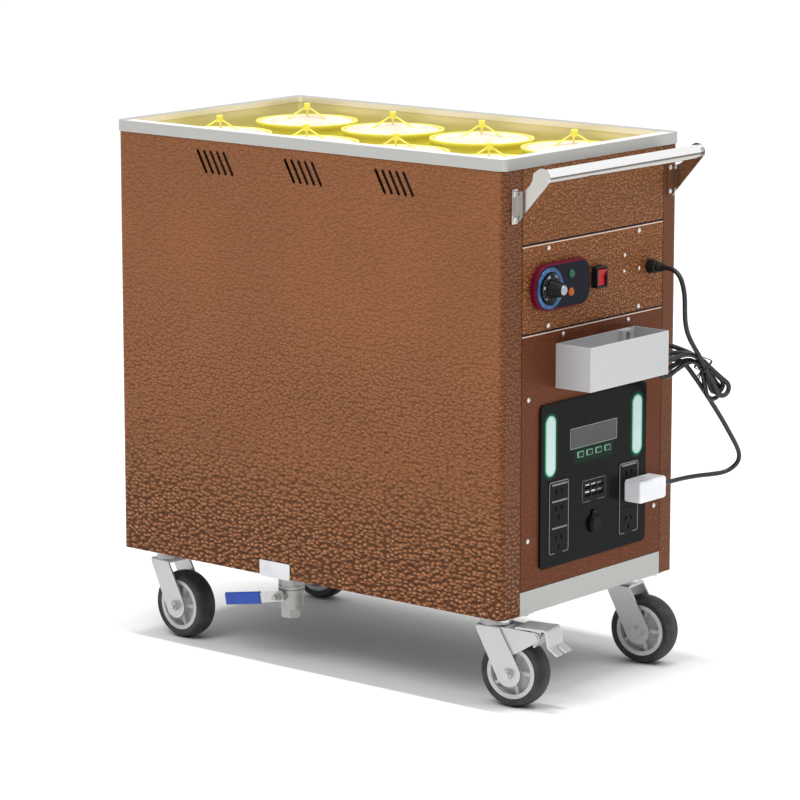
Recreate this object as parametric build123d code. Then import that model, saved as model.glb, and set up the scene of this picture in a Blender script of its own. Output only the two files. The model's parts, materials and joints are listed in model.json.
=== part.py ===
from build123d import *
import math
import os

import numpy as np

# A dim sum steamer cart: a sheet body with a steam well, controls and a portable power station at one end.
# It is drawn about the middle of the body, with +X towards the push handle and the floor at z = 0.
# Afterwards it is moved so that the origin lies under the middle of its outline.

# Sheet body
BODY_LENGTH = 726.0
BODY_WIDTH = 410.0
BODY_HEIGHT = 647.0
SHEET = 1.2
CORNER_RADIUS = 9.0
CORNER_FLANGE_LEFT = 42.0
CORNER_FLANGE_RIGHT = 33.5
PANEL_GAP = 0.5
BASE_STRIP_HEIGHT = 33.0
BASE_PLATE = 2.0
BASE_CLEARANCE = 0.2
LOWER_PANEL_HEIGHT = 363.5
CONTROL_PANEL_HEIGHT = 125.0
LANDING_WIDTH = 38.0
LANDING_OVERLAP = 12.0
RAIL_HEIGHT = 32.0

# Vent slots in both long sides
VENT_GROUPS = 3
VENT_GROUP_PITCH = 169.0
VENT_SLOTS = 5
VENT_SLOT_PITCH = 12.7
VENT_SLOT_LENGTH = 39.0
VENT_SLOT_WIDTH = 5.0
VENT_TILT = 29.0
VENT_DROP = 45.5

# Top rim
RIM_OVERHANG = 2.5
RIM_SHEET = 1.5
RIM_SKIRT = 16.5
RIM_WIDTH = 18.0
RIM_LIP = 8.0
RIM_LIP_SHEET = 1.2
RIM_RADIUS = 12.0
OPENING_RADIUS = 8.0

# Steam tank, rack and heater
TANK_SHEET = 1.2
TANK_FLANGE = 1.5
TANK_CLEARANCE = 0.2
TANK_OVER_CONTROLS = 10.0
LEDGE_WIDTH = 14.0
LEDGE_SHEET = 1.5
LEDGE_DROP = 64.5
RACK_SHEET = 3.0
RACK_CLEARANCE = 1.2
RACK_RISE = 0.2
RACK_RAIL_WIDTH = 20.0
RACK_SLAT_WIDTH = 16.0
RACK_SLAT_SPREAD = 90.0
SPOUT_DIAMETER = 26.9
SPOUT_BORE = 20.0
HEATER_DIAMETER = 8.0
HEATER_SPREAD = 80.0
HEATER_HEIGHT = 21.0
HEATER_ENTRY_INSET = 48.9
HEATER_END_INSET = 98.9
HEATER_BEND = 18.0
HEATER_TAIL = 16.0
HEATER_FLANGE_DIAMETER = 22.0
HEATER_FLANGE = 3.0

# Steam baskets, two rows of four
BASKET_DIAMETER = 155.0
BASKET_BASE_DIAMETER = 146.0
BASKET_HEIGHT = 43.0
BASKET_WALL = 2.4
BASKET_LIP = 4.0
BASKET_LIP_HEIGHT = 5.0
BASKET_COLUMNS = 4
BASKET_ROWS = 2
BASKET_SIDE_GAP = 13.0
BASKET_CLEARANCE = 0.3
PLATE_DROP = 9.0
PLATE_THICKNESS = 2.0
PLATE_SLOTS = 6
PLATE_SLOT_WIDTH = 8.0
PLATE_SLOT_INNER = 18.0
PLATE_SLOT_OUTER = 58.0
BAIL_LEGS = 3
BAIL_DIAMETER = 2.6
BAIL_FOOT_RADIUS = 64.0
BAIL_TURN = -50.5
KNOB_WIDTH = 9.0
KNOB_HEIGHT = 10.0
KNOB_RISE = 25.5

# Controls, placed by distance from the control panel's left or right edge and height from its middle
THERMOSTAT_PLATE = (128.0, 66.0)
THERMOSTAT_PLATE_FROM_LEFT = (82.5, 1.0)
THERMOSTAT_PLATE_LEFT_RADIUS = 31.0
THERMOSTAT_PLATE_RIGHT_RADIUS = 20.0
THERMOSTAT_PLATE_THICKNESS = 9.5
THERMOSTAT_PLATE_CHAMFER = 2.5
KNOB_FROM_LEFT = (52.0, 0.0)
DIAL_KNOB_DIAMETER = 42.0
DIAL_GRIP_DIAMETER = 27.0
DIAL_TIP_DIAMETER = 18.0
DIAL_FLUTES = 10
DIAL_CAP_DIAMETER = 14.0
DIAL_KNOB_LENGTH = 25.0
DIAL_KNOB_CLEARANCE = 0.5
KNOB_STEM_DIAMETER = 6.0
STEM_REACH = 18.0
RUNNING_CLEARANCE = 0.05
THERMOSTAT_BODY = (34.0, 42.0, 42.0)
THERMOSTAT_BODY_RADIUS = 2.5
GREEN_LAMP_FROM_LEFT = (101.0, 15.0)
AMBER_LAMP_FROM_LEFT = (100.0, -10.5)
LAMP_DIAMETER = 12.0
LAMP_BODY_DIAMETER = 10.0
LAMP_RISE = 3.5
LAMP_DEPTH = 16.0
FIT_CLEARANCE = 0.2
ROCKER_FROM_LEFT = (173.0, 1.0)
ROCKER_HOUSING = (25.0, 31.0)
ROCKER_HOUSING_RISE = 10.5
ROCKER_HOUSING_DEPTH = 20.0
ROCKER_BODY = (20.0, 27.0)
ROCKER_SIZE = (19.6, 24.0)
ROCKER_TILT = 9.0
ROCKER_PIN_DIAMETER = 3.0
ROCKER_PIVOT_RISE = 5.8
ROCKER_SWING_CLEARANCE = 0.7
GLAND_FROM_RIGHT = (33.0, 0.5)
GLAND_LENGTH = 26.0
GLAND_DIAMETER = 19.0
GLAND_NUT = 22.0

# Portable power station in the lower panel
POWER_SHIFT = 5.0
POWER_RISE = 24.5
POWER_PANEL = (251.0, 236.0)
POWER_PANEL_THICKNESS = 3.0
POWER_PANEL_RADIUS = 8.0
POWER_LAP = 8.0
POWER_DEPTH = 225.0
POWER_UNIT_RADIUS = 5.0
POWER_FOOT = (18.0, 160.0)
LED_SIZE = (23.0, 87.0)
LED_SPACING = 206.0
LED_RISE = 57.5
INSET_DEPTH = 2.0
INSET_PROUD = 0.4
LCD_SIZE = (108.0, 26.5)
LCD_RISE = 59.5
LCD_SHIFT = -1.5
BUTTON_COUNT = 4
BUTTON_PITCH = 21.4
BUTTON_SIZE = (13.0, 8.0)
BUTTON_RISE = 35.0
BUTTON_PROUD = 1.6
BUTTON_TRAVEL = 1.0
BUTTON_CLEARANCE = 0.3
BUTTON_FLANGE = 1.5
SOCKET_COLUMN = (47.0, 106.0)
SOCKET_SPACING = 167.0
SOCKET_DROP = 46.5
SOCKET_PROUD = 0.8
SOCKET_GROOVES = (24.0, -15.0)
SOCKET_ROWS = (36.0, 8.0, -35.0)
PIN_SLOT = (2.6, 8.0)
PIN_SPACING = 12.7
PIN_SLOT_DEPTH = 16.0
USB_BLOCK = (54.0, 30.0)
USB_DROP = 21.5
USB_PORT = (12.4, 5.0)
USB_PITCH = (16.0, 11.0)
USB_DEPTH = 9.0
USB_TONGUE = 1.6
CAR_SOCKET_DROP = 71.0
CAR_SOCKET_DIAMETER = 28.0
CAR_SOCKET_RISE = 7.0
CAR_SOCKET_LAP = 3.0
CAR_CAP_TAB = (12.0, 24.0)

# Open tray under the controls
TRAY_WIDTH = 186.0
TRAY_HEIGHT = 63.0
TRAY_DEPTH = 61.0
TRAY_SHIFT = 9.5
TRAY_DROP = 19.0
TRAY_SHEET = 1.2
TRAY_CLIP = (25.0, 20.0, 8.0)
TRAY_CLIP_SLOT = (11.0, 15.0)
TRAY_CLIP_FROM_RIGHT = 27.0
TRAY_SCREW_INSET = 9.0

# Push handle
TUBE_DIAMETER = 20.0
TUBE_WALL = 1.5
HANDLE_REACH = 44.5
HANDLE_DROP = 24.0
HANDLE_PLATE = 2.5
HANDLE_NEAR_INSET = 30.5
HANDLE_FAR_INSET = 16.0
HANDLE_FLANGE = 12.0
HANDLE_FLANGE_HEIGHT = 48.0
HANDLE_FLANGE_DROP = 43.0
HANDLE_END_RADIUS = 12.5
HANDLE_THROAT_RADIUS = 26.5
HANDLE_THROAT_OUT = 3.0
HANDLE_THROAT_DROP = 20.0
HANDLE_SCREW_INSET = 7.0

# Drain valve
VALVE_X = -65.0
VALVE_INSET = 45.0
VALVE_BOTTOM = 66.0
VALVE_NECK_DIAMETER = 32.0
VALVE_NECK_HEIGHT = 13.0
VALVE_BODY_DIAMETER = 35.0
VALVE_BODY_HEIGHT = 25.0
VALVE_COLLAR_DIAMETER = 39.0
VALVE_COLLAR_HEIGHT = 10.0
VALVE_NUT_HEIGHT = 10.0
OUTLET_BORE = 24.0
PORT_BORE = 16.0
BALL_DIAMETER = 22.0
BALL_CLEARANCE = 0.3
STEM_HEIGHT = 101.0
VALVE_STEM_DIAMETER = 8.0
STEM_BOSS_DIAMETER = 15.0
STEM_BOSS_REACH = 27.0
STEM_LENGTH = 41.0
LEVER_REACH = 96.0
LEVER_DROOP = 10.0
LEVER_STRIP = (15.0, 2.5)
LEVER_GAP = 0.5
LEVER_STEP = 7.0
LEVER_STEP_FROM = 12.0
LEVER_STEP_TO = 24.0
LEVER_NUT = 13.0
LEVER_NUT_HEIGHT = 5.0
SLEEVE_LENGTH = 68.0
SLEEVE_WALL = 1.8
SLEEVE_OVERRUN = 2.0

# Casters
CASTER_HEIGHT = 135.0
CASTER_INSET = (50.0, 50.0)
CASTER_PLATE = (92.0, 68.0, 3.0)
CASTER_BOLTS = (70.0, 46.0)
CASTER_BOLT_DIAMETER = 8.0
BOLT_HEAD_HEIGHT = 4.0
RACE_DIAMETER = 54.0
RACE_HEIGHT = 6.0
SWIVEL_GAP = 0.3
KING_PIN_DIAMETER = 10.0
KING_PIN_HEAD = 16.0
KING_PIN_HEAD_HEIGHT = 4.0
CROWN_TOP = 118.0
CROWN_THICKNESS = 4.0
CROWN_CAP_DIAMETER = 44.0
FORK_INNER = 40.0
FORK_SHEET = 3.0
FORK_BACK = -18.0
FORK_FRONT = 20.0
FORK_FOOT_RADIUS = 19.0
TRAIL = 34.0
AXLE_DIAMETER = 10.0
AXLE_NUT = 16.0
AXLE_NUT_HEIGHT = 6.0
AXLE_TIP = 4.0
WHEEL_DIAMETER = 102.0
TYRE_WIDTH = 34.0
WHEEL_RING_DIAMETER = 76.0
WHEEL_RING_WALL = 6.0
WHEEL_RING_WIDTH = 31.0
HUB_DIAMETER = 26.0
HUB_CLEARANCE = 0.3
WEB_THICKNESS = 8.0
WHEEL_RIBS = 5
TYRE_CROWN = 2.6
TYRE_SHOULDER = 3.5
TYRE_BEVEL = 5.5
RIB_THICKNESS = 5.0
RIB_WIDTH = 24.0
SWING = {
    "handle_left": 9.0,
    "handle_right": 8.0,
    "nose_left": -4.0,
    "nose_right": 4.0,
}

# Brake on the caster at the handle's left, in the caster's own frame
BRAKE_PIVOT = (75.0, 108.0)
BRAKE_CHEEK = 2.2
BRAKE_CHEEK_RADIUS = 7.0
BRAKE_PIN_DIAMETER = 6.0
BRAKE_PIN_HEAD = 9.0
PEDAL_SHEET = 3.0
PEDAL_WIDTH = 42.0
PEDAL_BEND = 4.0
PEDAL_LINE = ((44.0, 118.8), (92.0, 119.6), (97.0, 96.0), (111.0, 86.0))
PEDAL_NOTCH = (12.0, 9.0)
PEDAL_LUG = 2.4
BRAKE_SHOE_WIDTH = 20.0
BRAKE_SHOE_REACH = 18.7
BRAKE_PRESS = 12.0

# Fasteners
SCREW_HEAD_DIAMETER = 7.2
SCREW_HEAD_HEIGHT = 2.2
SCREW_DIAMETER = 4.0
SCREW_LENGTH = 7.0
SMALL_SCREW_HEAD = 5.2
SCREW_HOLE_CLEARANCE = 0.15
CONTROL_SCREW_INSET = 60.0
CONTROL_SCREW_DROP = 7.0
CONTROL_SCREW_RISE = 8.0
SMALL_SCREWS_FROM_RIGHT = ((94.5, 23.5), (95.5, 0.5), (59.0, 0.5))
EDGE_SCREW_INSET = 16.0
EDGE_SCREW_RISES = (71.0, 273.0)
HANGER_SCREW_SPACING = 154.0
HANGER_SCREW_DROP = 7.5
REAR_SCREW_ROWS = 4
REAR_SCREW_RISE = 71.0
REAR_SCREW_DROP = 42.0

# Power cord, with x measured from the face of the end panels
CORD_DIAMETER = 7.0
CORD_LEAD = 14.0
CORD_UPPER = [
    (53.0, 136.0, 590.5),
    (63.0, 134.5, 580.5),
    (68.5, 134.0, 567.0),
    (70.0, 135.0, 551.0),
    (68.5, 137.0, 531.0),
    (66.5, 140.5, 510.0),
    (68.9, 146.8, 489.0),
    (75.2, 156.9, 468.0),
]
CORD_LOWER = [
    (57.0, 186.0, 424.0),
    (62.5, 206.5, 396.5),
    (66.5, 229.0, 368.0),
    (68.5, 249.5, 341.5),
    (69.0, 265.5, 321.5),
    (67.7, 276.0, 307.5),
    (64.5, 279.5, 295.5),
    (59.0, 278.0, 284.0),
    (52.6, 271.5, 275.0),
    (45.5, 261.0, 270.3),
    (38.0, 245.0, 270.3),
    (29.5, 222.5, 272.0),
    (22.0, 196.0, 273.8),
]
HANK_AT = (67.0, 178.0, 455.0)
HANK_HEADING = 64.4
HANK_LOOPS = 3
HANK_PITCH = 8.4
HANK_WAIST = 4.6
HANK_WAIST_ANGLE = -35.0
HANK_FRONT = 12.0
HANK_ENTRY = 3.0
RIGHT_REACH = (54.0, 47.0, 50.0)
RIGHT_ANGLE = (-42.0, -50.0, -58.0)
LEFT_REACH = (72.0, 66.0, 70.0)
LEFT_ANGLE = (186.0, 175.0, 164.0)
HANK_EXIT = (-12.9, -11.0)
TIE_WIDTH = 3.0
TIE_SHEET = 1.0
TIE_CLEARANCE = 1.0
TIE_TAIL = 14.0

# Plug on the cord
PLUG_SIZE = (28.0, 64.5, 32.5)
PLUG_RADIUS = 5.0
PLUG_SHIFT = 106.0
PLUG_DROP = 36.5
PIN_LENGTH = 14.0

# Levels and planes that the pieces share
END_X = BODY_LENGTH / 2
SIDE_Y = BODY_WIDTH / 2
SEAM_LEFT = CORNER_FLANGE_LEFT - SIDE_Y
SEAM_RIGHT = SIDE_Y - CORNER_FLANGE_RIGHT
PANEL_LEFT = SEAM_LEFT + PANEL_GAP
PANEL_RIGHT = SEAM_RIGHT - PANEL_GAP
BODY_BOTTOM = CASTER_HEIGHT
BODY_TOP = BODY_BOTTOM + BODY_HEIGHT
STRIP_TOP = BODY_BOTTOM + BASE_STRIP_HEIGHT
LOWER_BOTTOM = STRIP_TOP + 2 * PANEL_GAP
LOWER_TOP = LOWER_BOTTOM + LOWER_PANEL_HEIGHT
CONTROL_BOTTOM = LOWER_TOP + 2 * PANEL_GAP
CONTROL_TOP = CONTROL_BOTTOM + CONTROL_PANEL_HEIGHT
TOP_PANEL_BOTTOM = CONTROL_TOP + 2 * PANEL_GAP
CONTROL_MIDDLE = (CONTROL_BOTTOM + CONTROL_TOP) / 2
FLANGE_TOP = BODY_TOP + TANK_FLANGE
RIM_TOP = FLANGE_TOP + RIM_SHEET
OPENING_X = END_X + RIM_OVERHANG - RIM_WIDTH
OPENING_Y = SIDE_Y + RIM_OVERHANG - RIM_WIDTH
TANK_X = OPENING_X + RIM_LIP_SHEET + TANK_CLEARANCE
TANK_Y = OPENING_Y + RIM_LIP_SHEET + TANK_CLEARANCE


def from_left(place):
    """A place on the control panel as (y, z), from its left edge and its middle height."""
    return (PANEL_LEFT + place[0], CONTROL_MIDDLE + place[1])


def from_right(place):
    """A place on the control panel as (y, z), from its right edge and its middle height."""
    return (PANEL_RIGHT - place[0], CONTROL_MIDDLE + place[1])


THERMOSTAT_PLATE_AT = from_left(THERMOSTAT_PLATE_FROM_LEFT)
KNOB_AT = from_left(KNOB_FROM_LEFT)
GREEN_LAMP_AT = from_left(GREEN_LAMP_FROM_LEFT)
AMBER_LAMP_AT = from_left(AMBER_LAMP_FROM_LEFT)
ROCKER_AT = from_left(ROCKER_FROM_LEFT)
GLAND_AT = from_right(GLAND_FROM_RIGHT)
POWER_AT = (POWER_SHIFT, LOWER_BOTTOM + POWER_RISE + POWER_PANEL[1] / 2)
PLUG_AT = (POWER_AT[0] + PLUG_SHIFT, POWER_AT[1] - PLUG_DROP)
TRAY_AT = (TRAY_SHIFT, LOWER_TOP - TRAY_DROP - TRAY_HEIGHT / 2)
HANDLE_NEAR_Y = HANDLE_NEAR_INSET - SIDE_Y
HANDLE_FAR_Y = SIDE_Y - HANDLE_FAR_INSET
HANDLE_FLANGE_TOP = RIM_TOP - HANDLE_FLANGE_DROP
HANDLE_FLANGE_BOTTOM = HANDLE_FLANGE_TOP - HANDLE_FLANGE_HEIGHT
VALVE_AT = (VALVE_X, VALVE_INSET - SIDE_Y)
CASTER_X = END_X - CASTER_INSET[0]
CASTER_Y = SIDE_Y - CASTER_INSET[1]
TANK_FLOOR = KNOB_AT[1] + THERMOSTAT_BODY[2] / 2 + TANK_OVER_CONTROLS
LEDGE_TOP = BODY_TOP - LEDGE_DROP
RACK_BOTTOM = LEDGE_TOP + RACK_RISE
RACK_TOP = RACK_BOTTOM + RACK_SHEET
BASKET_BOTTOM = RACK_TOP + BASKET_CLEARANCE
BASKET_TOP = BASKET_BOTTOM + BASKET_HEIGHT
BACK_X = END_X - SHEET
VALVE_TOP = VALVE_BOTTOM + VALVE_NECK_HEIGHT + VALVE_BODY_HEIGHT + VALVE_COLLAR_HEIGHT + VALVE_NUT_HEIGHT
SPOUT_END = VALVE_TOP - VALVE_NUT_HEIGHT + BALL_CLEARANCE
HEATER_ENTRY_X = TANK_X - HEATER_ENTRY_INSET
HEATER_END_X = HEATER_END_INSET - TANK_X
BASKET_PITCH_X = BASKET_DIAMETER + (2 * OPENING_X - BASKET_COLUMNS * BASKET_DIAMETER) / (BASKET_COLUMNS + 1)
BASKET_PITCH_Y = (2 * (OPENING_Y - BASKET_SIDE_GAP) - BASKET_DIAMETER) / max(BASKET_ROWS - 1, 1)
BASKET_CENTRES = [
    ((column - (BASKET_COLUMNS - 1) / 2) * BASKET_PITCH_X, (row - (BASKET_ROWS - 1) / 2) * BASKET_PITCH_Y)
    for row in range(BASKET_ROWS)
    for column in range(BASKET_COLUMNS)
]
CASTER_CENTRES = {
    "handle_left": (CASTER_X, -CASTER_Y),
    "handle_right": (CASTER_X, CASTER_Y),
    "nose_left": (-CASTER_X, -CASTER_Y),
    "nose_right": (-CASTER_X, CASTER_Y),
}
EDGE_SCREW_YS = (PANEL_LEFT + EDGE_SCREW_INSET, PANEL_RIGHT - EDGE_SCREW_INSET)
CONTROL_SCREWS = [
    (y, z)
    for z in (CONTROL_TOP - CONTROL_SCREW_DROP, CONTROL_BOTTOM + CONTROL_SCREW_RISE)
    for y in (PANEL_LEFT + CONTROL_SCREW_INSET, PANEL_RIGHT - CONTROL_SCREW_INSET)
]
SMALL_SCREWS = [from_right(place) for place in SMALL_SCREWS_FROM_RIGHT]
LOWER_SCREWS = [(y, LOWER_BOTTOM + rise) for rise in EDGE_SCREW_RISES for y in EDGE_SCREW_YS]
LOWER_SCREWS += [
    (TRAY_AT[0] + side * HANGER_SCREW_SPACING / 2, LOWER_TOP - HANGER_SCREW_DROP) for side in (-1, 1)
]
REAR_SCREW_SPAN = BODY_TOP - REAR_SCREW_DROP - LOWER_BOTTOM - REAR_SCREW_RISE
REAR_SCREWS = [
    (y, LOWER_BOTTOM + REAR_SCREW_RISE + row * REAR_SCREW_SPAN / (REAR_SCREW_ROWS - 1))
    for y in EDGE_SCREW_YS
    for row in range(REAR_SCREW_ROWS)
]
CORD_NODES = ("cord_upper", "cord_hank", "cord_lower", "cord_tie", "plug")


# Shapes that the pieces are made from


def block(x_span, y_span, z_span):
    """A box between two limits on each axis."""
    spans = (x_span, y_span, z_span)
    size = [high - low for low, high in spans]
    middle = [(high + low) / 2 for low, high in spans]
    return Pos(*middle) * Box(*size)


def prism_x(sketch, start, end):
    """A (y, z) outline carried along X."""
    return extrude(Plane.YZ.offset(start) * sketch, end - start)


def prism_y(sketch, start, end):
    """An (x, z) outline carried along Y."""
    return extrude(Plane.XZ.offset(-end) * sketch, end - start)


def prism_z(sketch, start, end):
    """A plan outline carried along Z."""
    return extrude(Plane.XY.offset(start) * sketch, end - start)


def plan(half_x, half_y, radius):
    """A rounded rectangle in plan, by its half sizes."""
    return RectangleRounded(2 * half_x, 2 * half_y, radius)


def rod_x(at, radius, start, end):
    return prism_x(Pos(*at) * Circle(radius), start, end)


def rod_y(at, radius, start, end):
    return prism_y(Pos(*at) * Circle(radius), start, end)


def rod_z(at, radius, start, end):
    return prism_z(Pos(*at) * Circle(radius), start, end)


def rod_between(start, end, radius):
    """A round bar from one point to another."""
    run = Vector(*end) - Vector(*start)
    return extrude(Plane(origin=start, z_dir=run) * Circle(radius), run.length)


def turned_x(at, outline):
    """A shape turned about an X axis through (y, z), from (x, radius) points."""
    face = make_face(Plane.XY * Polyline(*outline, close=True))
    return Pos(0, *at) * revolve(face, Axis.X)


def turned_z(at, outline):
    """A shape turned about a Z axis through (x, y), from (radius, z) points."""
    face = make_face(Plane.XZ * Polyline(*outline, close=True))
    return Pos(*at, 0) * revolve(face, Axis.Z)


def hull(*sketches):
    """The convex outline round several sketches."""
    return make_hull([edge for sketch in sketches for edge in sketch.edges()])


def group(solids):
    return list(solids)


def mitred(frame, half_x, half_y):
    """A long rectangular frame as four lengths, cut along the diagonals of its corners."""
    spine = half_x - half_y
    reach = half_x + half_y
    near_end = [(spine, 0), (reach, reach - spine), (reach, spine - reach)]
    near_side = [(-spine, 0), (spine, 0), (reach, reach - spine), (-reach, reach - spine)]
    lengths = []
    for corners in (near_end, near_side):
        wedge = prism_z(make_face(Polyline(*corners, close=True)), 0, 2 * BODY_TOP)
        lengths += (frame & wedge).solids()
        lengths += (frame & (Rot(0, 0, 180) * wedge)).solids()
    return lengths


def screw(at, face_x, head=SCREW_HEAD_DIAMETER, side=1):
    """A domed screw whose head sits on a face at face_x, pointing into the body."""
    shank = SCREW_DIAMETER / 2
    outline = [
        (-SCREW_LENGTH, 0),
        (-SCREW_LENGTH, shank),
        (0, shank),
        (0, head / 2),
        (SCREW_HEAD_HEIGHT / 2, head / 2),
        (SCREW_HEAD_HEIGHT, head / 4),
        (SCREW_HEAD_HEIGHT, 0),
    ]
    return turned_x(at, [(face_x + side * x, radius) for x, radius in outline])


def screw_holes(positions, start, end):
    return [rod_x(at, SCREW_DIAMETER / 2 + SCREW_HOLE_CLEARANCE, start, end) for at in positions]


# Sheet body


def vent_slots(side):
    """Three groups of slanted slots near the top of a long side."""
    slot = Rot(0, 0, 90 + VENT_TILT) * SlotOverall(VENT_SLOT_LENGTH, VENT_SLOT_WIDTH)
    cuts = []
    for group_number in range(VENT_GROUPS):
        group_x = (group_number - (VENT_GROUPS - 1) / 2) * VENT_GROUP_PITCH
        for slot_number in range(VENT_SLOTS):
            x = group_x + (slot_number - (VENT_SLOTS - 1) / 2) * VENT_SLOT_PITCH
            wall = sorted((side * (SIDE_Y - 2 * SHEET), side * (SIDE_Y + SHEET)))
            cuts.append(prism_y(Pos(x, BODY_TOP - VENT_DROP) * slot, *wall))
    return cuts


def side_panel(side):
    """A long wall that wraps round both ends, with joggled strips for the end panels."""
    outer = plan(END_X, SIDE_Y, CORNER_RADIUS)
    inner = plan(END_X - SHEET, SIDE_Y - SHEET, CORNER_RADIUS - SHEET)
    seam = SEAM_LEFT if side < 0 else SEAM_RIGHT
    keep = sorted((seam, side * 2 * SIDE_Y))
    panel = prism_z(outer - inner, BODY_BOTTOM, BODY_TOP)
    panel &= block((-BODY_LENGTH, BODY_LENGTH), keep, (0, 2 * BODY_TOP))
    edge = side * seam + LANDING_OVERLAP
    landing = sorted((side * (edge - LANDING_WIDTH), side * edge))
    for end in (-1, 1):
        depth = sorted((end * (BACK_X - SHEET), end * BACK_X))
        panel += block(depth, landing, (LOWER_BOTTOM, BODY_TOP))
    panel -= vent_slots(side)
    flange_screws = [at for at in handle_screw_places() if at[0] * side > 0]
    panel -= screw_holes(flange_screws, BACK_X - SHEET, END_X + SHEET)
    panel -= screw_holes(LOWER_SCREWS, BACK_X - 2 * SHEET, END_X)
    panel -= screw_holes(REAR_SCREWS, -END_X, -BACK_X + 2 * SHEET)
    return panel


def end_sheet(bottom, top, end=1):
    depth = sorted((end * BACK_X, end * END_X))
    return block(depth, (PANEL_LEFT, PANEL_RIGHT), (bottom, top))


def rear_panel():
    return end_sheet(LOWER_BOTTOM, BODY_TOP, -1) - screw_holes(REAR_SCREWS, -END_X - SHEET, -BACK_X + SHEET)


def end_top_panel():
    return end_sheet(TOP_PANEL_BOTTOM, BODY_TOP)


def control_panel():
    """The panel that carries the thermostat, rocker and gland."""
    panel = end_sheet(CONTROL_BOTTOM, CONTROL_TOP)
    through = (BACK_X - SHEET, END_X + SHEET)
    panel -= screw_holes(CONTROL_SCREWS + SMALL_SCREWS, *through)
    panel -= rod_x(KNOB_AT, KNOB_STEM_DIAMETER / 2 + FIT_CLEARANCE, *through)
    for lamp_at in (GREEN_LAMP_AT, AMBER_LAMP_AT):
        panel -= rod_x(lamp_at, LAMP_BODY_DIAMETER / 2 + FIT_CLEARANCE, *through)
    hole = Rectangle(ROCKER_BODY[0] + 2 * FIT_CLEARANCE, ROCKER_BODY[1] + 2 * FIT_CLEARANCE)
    panel -= prism_x(Pos(*ROCKER_AT) * hole, *through)
    panel -= rod_x(GLAND_AT, CORD_DIAMETER / 2 + FIT_CLEARANCE, *through)
    return panel


def power_cutout():
    return Rectangle(POWER_PANEL[0] - 2 * POWER_LAP, POWER_PANEL[1] - 2 * POWER_LAP)


def lower_panel():
    """The large end panel, cut out for the power station."""
    panel = end_sheet(LOWER_BOTTOM, LOWER_TOP)
    through = (BACK_X - SHEET, END_X + SHEET)
    panel -= prism_x(Pos(*POWER_AT) * power_cutout(), *through)
    panel -= screw_holes(LOWER_SCREWS + tray_screw_places(), *through)
    return panel


def cross_rails():
    """Flat rails behind the two seams of the handle end, between the side panels' strips."""
    inset = LANDING_WIDTH - LANDING_OVERLAP + BASE_CLEARANCE
    across = (SEAM_LEFT + inset, SEAM_RIGHT - inset)
    rails = []
    for seam in (LOWER_TOP + PANEL_GAP, CONTROL_TOP + PANEL_GAP):
        heights = (seam - RAIL_HEIGHT / 2, seam + RAIL_HEIGHT / 2)
        rail = block((BACK_X - SHEET, BACK_X), across, heights)
        rail -= screw_holes(CONTROL_SCREWS + LOWER_SCREWS, BACK_X - 2 * SHEET, END_X)
        rails.append(rail)
    return group(rails)


def caster_bolt_places():
    """The plan position of every caster bolt."""
    return [
        (centre_x + side_x * CASTER_BOLTS[0] / 2, centre_y + side_y * CASTER_BOLTS[1] / 2)
        for centre_x, centre_y in CASTER_CENTRES.values()
        for side_x in (-1, 1)
        for side_y in (-1, 1)
    ]


def base_pan():
    """A folded pan: its end flanges are the bare steel strips under the end panels."""
    inner_x = BACK_X - BASE_CLEARANCE
    inner_y = SIDE_Y - SHEET - BASE_CLEARANCE
    floor = (BODY_BOTTOM, BODY_BOTTOM + BASE_PLATE)
    pan = prism_z(plan(inner_x, inner_y, CORNER_RADIUS), *floor)
    pan += block((-END_X, END_X), (PANEL_LEFT, PANEL_RIGHT), floor)
    for side in (-1, 1):
        end_flange = sorted((side * BACK_X, side * END_X))
        pan += block(end_flange, (PANEL_LEFT, PANEL_RIGHT), (BODY_BOTTOM, STRIP_TOP))
        side_flange = sorted((side * (inner_y - SHEET), side * inner_y))
        flange_x = END_X - CORNER_FLANGE_LEFT
        pan += block((-flange_x, flange_x), side_flange, (BODY_BOTTOM, STRIP_TOP))
    pan -= rod_z(VALVE_AT, SPOUT_DIAMETER / 2 + 1.5, BODY_BOTTOM - BASE_PLATE, STRIP_TOP)
    bolt_hole = CASTER_BOLT_DIAMETER / 2 + FIT_CLEARANCE
    pan -= [rod_z(at, bolt_hole, BODY_BOTTOM - BASE_PLATE, STRIP_TOP) for at in caster_bolt_places()]
    return pan


def top_rim():
    """Four folded lengths welded at their mitres: outer skirt, flat top and a lip down into the well."""
    outer_x = END_X + RIM_OVERHANG
    outer_y = SIDE_Y + RIM_OVERHANG
    inside = plan(outer_x - RIM_SHEET, outer_y - RIM_SHEET, RIM_RADIUS - RIM_SHEET)
    opening = plan(OPENING_X, OPENING_Y, OPENING_RADIUS)
    lip = plan(OPENING_X + RIM_LIP_SHEET, OPENING_Y + RIM_LIP_SHEET, OPENING_RADIUS + RIM_LIP_SHEET)
    rim = prism_z(plan(outer_x, outer_y, RIM_RADIUS), RIM_TOP - RIM_SKIRT, RIM_TOP)
    rim -= prism_z(inside, RIM_TOP - RIM_SKIRT, FLANGE_TOP)
    rim += prism_z(lip, RIM_TOP - RIM_LIP, RIM_TOP)
    rim -= prism_z(opening, RIM_TOP - RIM_LIP, RIM_TOP)
    return group(mitred(rim, outer_x, outer_y))


# Steam well


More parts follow.
